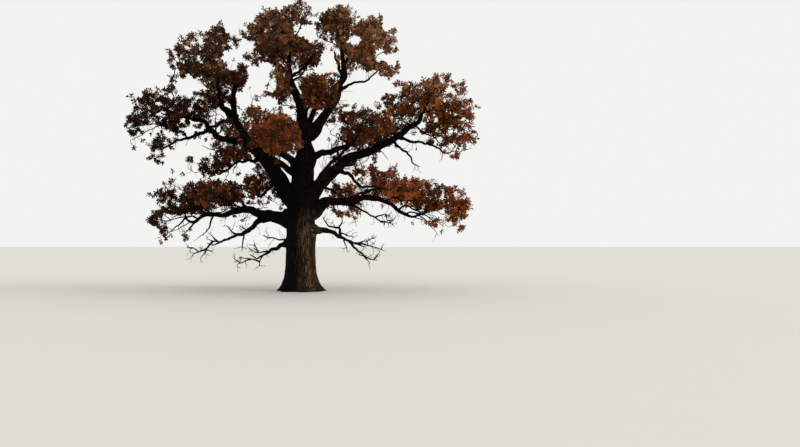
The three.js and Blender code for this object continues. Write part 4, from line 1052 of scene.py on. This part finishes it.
# %% [markdown]
# ## Twigs as thin tubes
# A twig is a few pixels wide, so three or five sides are enough, closed by a cap at the root and
# drawn out to a point. All tubes with the same number of sides are built in one go.
# %% Tubes from tables
def tube_arrays(table, sides, rings):
    """Corners and triangles of every twig in a table."""
    count = len(table)
    shares = np.linspace(0, 1, rings + 1)[:-1]
    line = places(table, np.tile(np.linspace(0, 1, rings + 1), (count, 1)))
    onward = unit(np.gradient(line, axis=1))
    steep = np.abs(onward[:, :1, 2:]) > 0.75
    level = np.where(steep, np.array([1.0, 0, 0]), UP)
    aside = unit(np.cross(onward, level))
    above = np.cross(onward, aside)
    angle = 2 * np.pi * np.arange(sides) / sides
    radius = table[:, 12:13] + (table[:, 13:14] - table[:, 12:13]) * shares
    aside, above = aside[:, :-1, None], above[:, :-1, None]
    spoke = np.cos(angle)[:, None] * aside + np.sin(angle)[:, None] * above
    ring = line[:, :-1, None] + spoke * radius[:, :, None, None]
    corners = np.concatenate([ring.reshape(count, -1, 3), line[:, -1:]], axis=1)
    each = rings * sides + 1
    faces = []
    for k in range(sides):
        after = (k + 1) % sides
        for r in range(rings - 1):
            low, high = r * sides, (r + 1) * sides
            faces += [(low + k, low + after, high + after), (low + k, high + after, high + k)]
        last = (rings - 1) * sides
        faces.append((last + k, last + after, each - 1))
    faces += [(0, k + 1, k) for k in range(1, sides - 1)]
    faces = np.array(faces)[None] + each * np.arange(count)[:, None, None]
    return corners.reshape(-1, 3), faces.reshape(-1, 3)


def merged(parts):
    """Several parts, each its corners and one or more tables of faces, as one."""
    starts = np.cumsum([0] + [len(part[0]) for part in parts[:-1]])
    tables = zip(*(part[1:] for part in parts))
    faces = [np.vstack([rows + start for rows, start in zip(table, starts)]) for table in tables]
    return np.vstack([part[0] for part in parts]), faces


# %% [markdown]
# ## Bark
# Old oak bark splits as the trunk thickens: corky upright plates with deep dark cracks between
# them. Cells of Voronoi noise, stretched along the limb, give just that pattern, and the distance
# to a cell's edge says how deep the crack is. The cracks are cut into the mesh itself, because they
# show on the trunk's outline. How high each corner stands is kept on the mesh, for the material to
# colour by: the cracks get a darker colour, partly the bark's own and partly painted shade, and on
# the trunk the stored height also drops in the flutes' hollows, as painted shade.
# %% Relief of the bark
CELL = (0.05, 0.7)  # width and height of a plate on the trunk


def bark_height(points, cell):
    """0 at the bottom of a crack to 1 on a plate, for points in a straightened limb's space."""
    scale = Vector((1 / cell[0], 1 / cell[0], 1 / cell[1]))
    nearest = np.array([noise.voronoi(Vector(point) * scale)[0][:2] for point in points])
    return np.clip((nearest[:, 1] - nearest[:, 0]) / 0.42, 0, 1) ** 0.75


def bark_grid(rings, around):
    """Quads of a tube whose corners run ring by ring, and its two caps."""
    row = np.arange(around)
    after = (row + 1) % around
    low = np.arange(rings - 1)[:, None] * around
    quads = np.stack([low + row, low + after, low + around + after, low + around + row], axis=-1)
    foot, top = rings * around, rings * around + 1
    last = (rings - 1) * around
    caps = np.concatenate([
        np.stack([after, row, np.full(around, foot)], axis=-1),
        np.stack([last + row, last + after, np.full(around, top)], axis=-1),
    ])
    return quads.reshape(-1, 4), caps


# %% Trunk
TRUNK_AROUND, TRUNK_RINGS = 290, 96
CRACK_DEPTH, GRAIN_DEPTH, GRAIN_SCALE = 0.034, 0.008, 9
FLUTES = dict(around=1.4, up=0.22, scale=1.3, depth=0.085)
RING_SPREAD = 0.94  # under 1, so that rings lie closer toward the top
# Heading, height, how far it stands out, and size
BURRS = [
    (250, 3.1, 0.07, 0.22), (300, 1.5, 0.05, 0.2), (205, 2.4, 0.06, 0.18), (20, 2.7, 0.07, 0.25),
]


def trunk_arrays():
    """Corners, quads, caps and bark heights: flutes and burrs first, then cracks and grain."""
    heights = np.linspace(0, 1, TRUNK_RINGS) ** RING_SPREAD * TRUNK["height"]
    heading = np.arange(TRUNK_AROUND) * 360 / TRUNK_AROUND
    height, around = (grid.ravel() for grid in np.meshgrid(heights, heading, indexing="ij"))
    radius = trunk_radius(height, around)
    spoke = heading_vector(around, 0)
    low = np.exp(-height / (2 * TRUNK["flare_height"]))
    drawn = spoke * FLUTES["around"] + height[:, None] * UP * FLUTES["up"]
    flutes = soft_noise(drawn, FLUTES["scale"])
    radius *= 1 + FLUTES["depth"] * flutes * (1 + low)
    for burr_heading, burr_height, out, size in BURRS:
        turn = np.radians((around - burr_heading + 180) % 360 - 180) * radius
        radius += out * np.exp(-(turn**2 + (height - burr_height) ** 2) / size**2)
    bark = bark_height(spoke * radius[:, None] + height[:, None] * UP, CELL)
    radius -= CRACK_DEPTH * (1 - bark) * np.clip((TRUNK["height"] - height) / 0.3, 0.2, 1)
    radius += GRAIN_DEPTH * soft_noise(spoke * radius[:, None] + height[:, None] * UP, GRAIN_SCALE)
    corners = trunk_axis(height) + spoke * radius[:, None]
    corners = np.vstack([corners, trunk_axis(0), trunk_axis(TRUNK["height"])])
    quads, caps = bark_grid(TRUNK_RINGS, TRUNK_AROUND)
    # The stored height also drops in the flutes' hollows, so that the material paints shade there
    return corners, quads, caps, np.append(bark * np.clip(0.85 + 0.5 * flutes, 0.5, 1), [1, 1])


print("trunk mesh:", TRUNK_AROUND, "corners round,", TRUNK_RINGS, "rings")

# %% A limb's line and frames
TRUNK_TOP = 5.19
TIP_STEMS = {spec["carrier"]: stems[k] for k, spec in enumerate(MASSES) if spec["at"] == 1}


def carried_frames(points):
    """Two side vectors at each point of a line, carried along it without twisting."""
    onward = unit(np.gradient(points, axis=0))
    aside = np.empty_like(points)
    level = UP if abs(onward[0, 2]) < 0.8 else np.array([1.0, 0, 0])
    aside[0] = unit(np.cross(onward[0], level))
    for i in range(1, len(points)):
        aside[i] = unit(aside[i - 1] - onward[i] * aside[i - 1].dot(onward[i]))
    return onward, aside, np.cross(onward, aside)


def leaving_share(line, parent):
    """The first point of a line that stands outside its parent."""
    if parent == "trunk":
        off = np.linalg.norm((line - trunk_axis(line[:, 2]))[:, :2], axis=1)
        outside = off > trunk_radius(np.minimum(line[:, 2], TRUNK_TOP), np.zeros(len(line)))
    else:
        route = routes[parent]
        shares = np.linspace(0, 1, 200)
        away = np.linalg.norm(line[:, None] - route.at(shares), axis=-1)
        outside = away.min(axis=1) > route.radius(shares)[away.argmin(axis=1)]
    return int(np.argmax(outside)) if outside.any() else 0


# How far a limb kinks: in m, and more by this share of its root. It is straight at first, for
# this many radii
CROOK_REACH, CROOK_SHARE, STRAIGHT = 0.05, 0.35, 4


def crooks(gone, root, seed):
    """Sideways steps that make a limb kink, none at its root."""
    way = gone * 1.4 / max(root, 0.12) * 0.3
    turns = np.column_stack([way, np.full(len(gone), seed * 5.3), 0 * gone])
    moves = np.stack([soft_noise(turns + (0, 0, 9.1 * k), 1) for k in range(3)], axis=1)
    reach = CROOK_REACH + CROOK_SHARE * root
    return moves * reach * np.clip(gone / (STRAIGHT * root), 0, 1)[:, None]


# %% A limb's skin
RELIEF_STEP = 0.06  # spacing of a limb's corners round its root
SIDES, RING_GAP = (6, 60), (0.07, 0.1)  # least and most corners round, and metres between rings
RING_SHARE = 0.4  # how far apart rings are, in radii of the root
TIP_SHARE, LIMB_END = 0.55, 0.93  # shares of the tip's radius at a free end, and before a stem
KNOBS, LUMPS = 0.16, 0.17  # how far a limb swells along it and round it, as shares of its radius
KNOB_SCALE, LUMP_SCALE = 1.7, 2.2
LIMB_CRACK, THIN_CRACK = 0.03, 0.12  # depth of cracks: in m on a thick limb, a share on a thin one
# A limb's plates are smaller than the trunk's: by its root over this one, within two limits
THICK_ROOT, PLATES = 0.55, (0.32, 0.9)
# How far some limbs swell where they leave their parent, and how far out in radii of the root
COLLAR, COLLAR_REACH = 0.35, 1.2
COLLARS = dict(
    left_leader=0.25, centre_leader=0.15, right_bough=0.3, right_low_bough=0.5, left_low_bough=0.9,
    left_bare_limb=0.9, right_bare_bough=1.1,
)
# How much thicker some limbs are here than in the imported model
THICKER = dict(
    left_dead_bough=1.3, left_bare_limb=1.5, front_right_bough=0.75, left_snag=1.2,
    right_bare_bough=1.25, left_low_bough=1.12, right_drop_limb=1.45, right_under_limb=1.2,
    left_droop_limb=1.2, left_bough=1.1, right_inner_limb=1.15, right_stem=1.12,
    left_upper_limb=1.15,
)


def limb_arrays(route, seed, parent=None, stem=None, thicker=1, collar=COLLAR):
    """A limb with relief, and the stem that carries it on into its mass."""
    line, end = route.points, route.tip * TIP_SHARE
    limb_length = total = route.length()
    if stem is not None:
        line = np.vstack([line, stem.points[1:]])
        total, end = total + stem.length(), stem.tip
    around = int(np.clip(round(2 * math.pi * route.root / RELIEF_STEP), *SIDES))
    rings = int(total / np.clip(route.root * RING_SHARE, *RING_GAP))
    line = evenly(line, rings)
    for _ in range(3):
        line[1:-1] = (line[:-2] + 2 * line[1:-1] + line[2:]) / 4
    gone = np.linspace(0, total, rings)
    line = line + crooks(gone, route.root, seed)
    radii = [route.root, route.tip * LIMB_END, end]
    radius = np.interp(gone, [0, limb_length, total], radii) * thicker
    outside = leaving_share(line, parent) if parent else 0
    clear_way = np.maximum(gone - gone[outside], 0)
    radius *= 1 + collar * np.exp(-clear_way / (COLLAR_REACH * route.root))
    knobs = np.column_stack([gone * KNOB_SCALE, np.full(rings, seed * 3.7), 0 * gone])
    radius *= 1 + KNOBS * soft_noise(knobs, 1)
    onward, aside, above = carried_frames(line)
    angle = np.arange(around) * 2 * np.pi / around
    spoke = np.cos(angle)[:, None] * aside[:, None] + np.sin(angle)[:, None] * above[:, None]
    flat = np.column_stack([np.cos(angle), np.sin(angle), 0 * angle]) * radius[:, None, None]
    straight = (flat + (gone[:, None, None] + 10 * seed) * UP).reshape(-1, 3)
    size = np.clip(route.root / THICK_ROOT, *PLATES)
    bark = bark_height(straight, (CELL[0] * size, CELL[1] * size))
    lumps = soft_noise(straight, LUMP_SCALE / max(route.root, 0.08) * 0.35)
    grid = np.repeat(radius, around)
    depth = np.minimum(LIMB_CRACK * size, THIN_CRACK * grid)
    grid = grid * (1 + LUMPS * lumps) - (1 - bark) * depth
    corners = np.repeat(line, around, axis=0) + spoke.reshape(-1, 3) * grid[:, None]
    corners = np.vstack([corners, line[0], line[-1] + onward[-1] * radius[-1]])
    quads, caps = bark_grid(rings, around)
    return corners, quads, caps, np.append(bark, [1, 1])


# %% [markdown]
# ## Finishes
# The bark is near black in its cracks, partly its own colour and partly painted shade, and grey-brown
# on its plates. Its left side is darker and greener: painted shade away from the light, over a film
# of algae. Up in the crown and out along the limbs it is painted darker still, as the crown's shade.
# Twigs share its colours without the pattern. Leaves get plain colours: a dry oak leaf has no gloss
# and little pattern at this distance, and the crown's play of colour comes from whole sprays that
# turned at different times, and in part from painted light, with lighter sprays to the right.
# %% Shader nodes
def linear(red, green, blue):
    """A colour written as on a screen, 0 to 255, as the light it stands for."""
    values = np.array([red, green, blue]) / 255
    light = np.where(values <= 0.04045, values / 12.92, ((values + 0.055) / 1.055) ** 2.4)
    return (*light, 1.0)


def feed(tree, node, inputs):
    """Gives a node's inputs their values, or wires them to other nodes' outputs."""
    for key, source in inputs.items():
        if isinstance(source, bpy.types.NodeSocket):
            tree.links.new(source, node.inputs[key])
        else:
            node.inputs[key].default_value = source


def add_node(tree, kind, inputs, output=0, **settings):
    """Adds a shader node, and hands back one of its outputs."""
    node = tree.nodes.new("ShaderNode" + kind)
    for key, value in settings.items():
        setattr(node, key, value)
    feed(tree, node, inputs)
    return node.outputs[output]


def add_ramp(tree, factor, *stops):
    node = tree.nodes.new("ShaderNodeValToRGB")
    while len(node.color_ramp.elements) < len(stops):
        node.color_ramp.elements.new(0.5)
    for element, (position, colour) in zip(node.color_ramp.elements, stops):
        element.position, element.color = position, colour
    tree.links.new(factor, node.inputs[0])
    return node.outputs[0]


def add_noise(tree, place, scale, detail):
    return add_node(tree, "TexNoise", {"Vector": place, "Scale": scale, "Detail": detail}, "Fac")


def add_mix(tree, factor, first, second, blend="MIX"):
    inputs = {0: factor, 6: first, 7: second}
    return add_node(tree, "Mix", inputs, 2, data_type="RGBA", blend_type=blend)


def add_range(tree, value, low, high):
    return add_node(tree, "MapRange", {"Value": value, "From Min": low, "From Max": high}, "Result")


def add_bumps(tree, place, scale, detail, strength, distance):
    rough = add_noise(tree, place, scale, detail)
    inputs = {"Height": rough, "Strength": strength, "Distance": distance}
    return add_node(tree, "Bump", inputs, "Normal")


# %% Plain and twig materials
def new_material(name, roughness, shine=0.25):
    material = bpy.data.materials.new(name)
    material.use_nodes = True
    tree = material.node_tree
    shader = tree.nodes["Principled BSDF"]
    feed(tree, shader, {"Roughness": roughness, "Specular IOR Level": shine})
    return material, tree, shader


def plain_material(name, colour, *finish):
    material, tree, shader = new_material(name, *finish)
    feed(tree, shader, {"Base Color": linear(*colour)})
    return material


def twig_material(name, dark, light):
    material, tree, shader = new_material(name, 0.85)
    place = add_node(tree, "TexCoord", {}, "Object")
    mottle = add_noise(tree, place, 6, 5)
    colour = add_ramp(tree, mottle, (0.35, linear(*dark)), (0.7, linear(*light)))
    feed(tree, shader, {"Base Color": colour, "Normal": add_bumps(tree, place, 60, 4, 0.4, 0.003)})
    return material


# %% The bark's material
BLACK, WHITE = (0, 0, 0, 1), (1, 1, 1, 1)
# The cracks' colour is partly the bark's own and partly painted shade; slopes and plates are lighter
CRACK, SLOPE, PLATE = linear(10, 8, 6), linear(54, 42, 28), linear(148, 121, 88)
DULL, CLEAN = linear(96, 90, 82), linear(255, 246, 232)
# The left side's colours: a green film with painted shade over it, and near-black painted shade
MOSS_AND_SHADE, DEEP_SHADE = linear(62, 74, 54), linear(9, 11, 7)
# Painted shade of the bark up in the crown and out along the limbs
SHADE = linear(60, 51, 41)


def bark_material():
    material, tree, shader = new_material("oak bark", 0.92, 0.1)
    place = add_node(tree, "TexCoord", {}, "Object")
    height = add_node(tree, "Attribute", {}, "Fac", attribute_name="bark_height")
    # Low corners, in the cracks, are darker: partly the bark's own colour, partly painted shade
    relief = add_ramp(tree, height, (0.0, CRACK), (0.4, SLOPE), (1.0, PLATE))
    grain = add_ramp(tree, add_noise(tree, place, 14, 8), (0.3, DULL), (0.7, CLEAN))
    colour = add_mix(tree, 0.8, relief, grain, "MULTIPLY")

    # The left side is darker and greener up to a wavy edge: painted shade away from the light, over a
    # green film of algae, with patches of near-black painted shade
    patches = add_noise(tree, place, 1.3, 5)
    x = add_node(tree, "SeparateXYZ", {0: place}, "X")
    edge = add_node(tree, "Math", {0: patches, 1: 0.7, 2: x}, operation="MULTIPLY_ADD")
    mossy_shade = add_mix(tree, 1.0, colour, MOSS_AND_SHADE, "MULTIPLY")
    shaded_side = add_mix(tree, add_ramp(tree, patches, (0.42, BLACK), (0.62, WHITE)), mossy_shade, DEEP_SHADE)
    colour = add_mix(tree, add_range(tree, edge, 0.42, 0.08), colour, shaded_side)

    # Bark is darker up in the crown and out along the limbs: painted shade of the crown
    z = add_node(tree, "SeparateXYZ", {0: place}, "Z")
    level = add_node(tree, "VectorMath", {0: place, 1: (1, 1, 0)}, operation="MULTIPLY")
    away = add_node(tree, "VectorMath", {0: level}, "Value", operation="LENGTH")
    inputs = {0: add_range(tree, z, 2.7, 4.2), 1: add_range(tree, away, 0.8, 1.3)}
    shade = add_node(tree, "Math", inputs, operation="MAXIMUM")
    colour = add_mix(tree, shade, colour, add_mix(tree, 1.0, colour, SHADE, "MULTIPLY"))

    drawn = add_node(tree, "VectorMath", {0: place, 1: (1, 1, 0.16)}, operation="MULTIPLY")
    feed(tree, shader, {"Base Color": colour, "Normal": add_bumps(tree, drawn, 42, 5, 0.7, 0.03)})
    return material


# %% [markdown]
# ## The wood's pieces
# The trunk and the limbs are one piece, because they are one skin of bark on the tree. It stands
# for all of their solids.
# %% Trunk and limbs
parts = [trunk_arrays()]
for k, spec in enumerate(LIMBS):
    name = spec["name"]
    form = TIP_STEMS.get(name), THICKER.get(name, 1), COLLARS.get(name, COLLAR)
    parts.append(limb_arrays(routes[name], k + 1, spec["parent"], *form))
for k, (_, _, branch) in enumerate(branches):
    parts.append(limb_arrays(branch, k + 41))
for k, stem in enumerate(side_stems + deep_branches):
    parts.append(limb_arrays(stem, k + 141))
bark = make_piece("bark", *merged([part[:3] for part in parts]), bark_material())
attribute = bark.data.attributes.new("bark_height", "FLOAT", "POINT")
attribute.data.foreach_set("value", np.concatenate([part[3] for part in parts]).astype(np.float32))
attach(bark, "root")
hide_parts("trunk", *[spec["name"] for spec in LIMBS])

# %% Twig pieces
leafy_nodes = [spec["name"] for spec in MASSES if not spec["bare"]]
bare_nodes = [spec["name"] for spec in MASSES if spec["bare"]]
wood = merged([
    tube_arrays(coarse.table(), 5, 6),
    tube_arrays(fine_table, 3, 3),
    tube_arrays(shoots, 3, 1),
])
twigs = make_piece("twigs", *wood, twig_material("twig bark", (13, 10, 7), (32, 25, 18)))
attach(twigs, "root")
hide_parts(*leafy_nodes)

wood = merged([tube_arrays(bare.table(), 4, 5), tube_arrays(bare_shoots, 3, 2)])
bare_twigs = make_piece("bare_twigs", *wood, twig_material("dead wood", (17, 14, 10), (42, 33, 24)))
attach(bare_twigs, "root")
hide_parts(*bare_nodes)

# %% [markdown]
# ## Leaves by colour
# The upper crown is browner, the lower one more orange, and more so to the right, with every spray
# a little off its neighbours. The sprays to the right are lighter too: partly their own tint, partly
# painted light from that side. Each spray takes one of seven plain colours, and each colour is one
# piece.
# %% Leaves
# A tint's name, its colour, and the share of the upper or lower crown's sprays that it takes
UPPER_TINTS = [
    ("leaves_umber", (77, 50, 32), 0.3),
    ("leaves_brown", (117, 76, 47), 0.42),
    ("leaves_tan", (160, 109, 71), 0.28),
]
LOWER_TINTS = [
    ("leaves_chestnut", (50, 26, 11), 0.26),
    ("leaves_russet", (84, 42, 17), 0.32),
    ("leaves_copper", (114, 59, 23), 0.26),
    ("leaves_orange", (154, 84, 36), 0.16),
]


# %% The colour of every spray
def ranked(values, shares):
    """The number of the share that each value falls in, smallest values first."""
    rank = np.argsort(np.argsort(values)) / max(len(values), 1)
    return np.searchsorted(np.cumsum(shares)[:-1], rank, side="right")


# Patches of the crown that are warmer or duller than the rest: x and z of the middle, and how much.
# The last lifts a low mass that sits in shade to a light orange: painted light.
PATCHES = [(-0.8, 7.6, 0.2), (-1.5, 9.5, 0.2), (-3.0, 7.0, 0.2), (3.3, 8.0, -0.35), (1.7, 4.6, 0.6)]
UPPER_FROM = 10.2  # the height where the upper crown's tints begin, on average
middles = shoots[:, 3:6]
rng = np.random.default_rng(903)
x, y, z = middles.T
# Warmer to the right, to the front and low down, then in broad soft patches, then spray by spray.
# The warmer tints are lighter, so the rise to the right is partly painted light from that side.
tint_and_light = 0.055 * x - 0.01 * y - 0.03 * (z - 6) + 0.42 * soft_noise(middles, 0.8)
tint_and_light += rng.normal(0, 0.27, len(shoots))
for patch_x, patch_z, amount in PATCHES:
    tint_and_light += amount * np.exp(-((x - patch_x) ** 2 + (z - patch_z) ** 2) / 3)
upper = z + 0.1 * x + rng.normal(0, 1.0, len(shoots)) > UPPER_FROM
tint = np.empty(len(shoots), int)
tint[upper] = ranked(tint_and_light[upper], [share for _, _, share in UPPER_TINTS])
tint[~upper] = len(UPPER_TINTS) + ranked(tint_and_light[~upper], [share for _, _, share in LOWER_TINTS])
print("sprays of each colour:", np.bincount(tint).tolist())

# %% Leaf pieces
for k, (name, colour, _) in enumerate(UPPER_TINTS + LOWER_TINTS):
    parts = []
    for outer, (pattern, pattern_faces) in enumerate(PATTERNS):
        chosen = leaves[leaf_kept & (leaf_outer == outer) & (tint[leaf_spray] == k)]
        starts = len(pattern) * np.arange(len(chosen))[:, None, None]
        corners = leaf_corners(chosen, pattern).reshape(-1, 3)
        parts.append((corners, (pattern_faces + starts).reshape(-1, 3)))
    piece = make_piece(name, *merged(parts), plain_material(name, colour, 0.8, 0.1), smooth=False)
    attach(piece, "root")
    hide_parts(*leafy_nodes)

# %% [markdown]
# ## Floor and light
# The floor is plain and pale, and so is the sky around it. That sky lights the tree from all round,
# and one broad soft lamp from the right, a little behind, models the trunk.
# %% Floor, sky and lamp
FLOOR_HALF = 900
square = np.array([(-1, -1, 0), (1, -1, 0), (1, 1, 0), (-1, 1, 0)]) * FLOOR_HALF
floor_material = plain_material("pale floor", (214, 211, 205), 0.9)
floor = make_piece("floor", square, [np.array([(0, 1, 2, 3)])], floor_material)
floor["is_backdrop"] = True

sky = bpy.data.worlds.new("overcast")
sky.use_nodes = True
background = {"Color": linear(243, 243, 240), "Strength": 1.0}
feed(sky.node_tree, sky.node_tree.nodes["Background"], background)
bpy.context.scene.world = sky

lamp_data = bpy.data.lights.new("soft sun", "SUN")
lamp_data.energy = 1.6
lamp_data.angle = math.radians(50)
lamp = bpy.data.objects.new("soft sun", lamp_data)
lamp.rotation_euler = (math.radians(66), 0, math.radians(80))
bpy.context.scene.collection.objects.link(lamp)

# %% [markdown]
# ## The sizes, and finish
# Both boxes, the imported model's and the fine tree's, are printed side by side. The fine
# tree may not outgrow the imported one.
# %% Sizes and the last line
visual_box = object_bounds()
boxes = {"cad": [list(c) for c in cad_box], "visual": [list(c) for c in visual_box]}
for name, (low, high) in boxes.items():
    print(name, "box:", [round(v, 2) for v in low], [round(v, 2) for v in high])
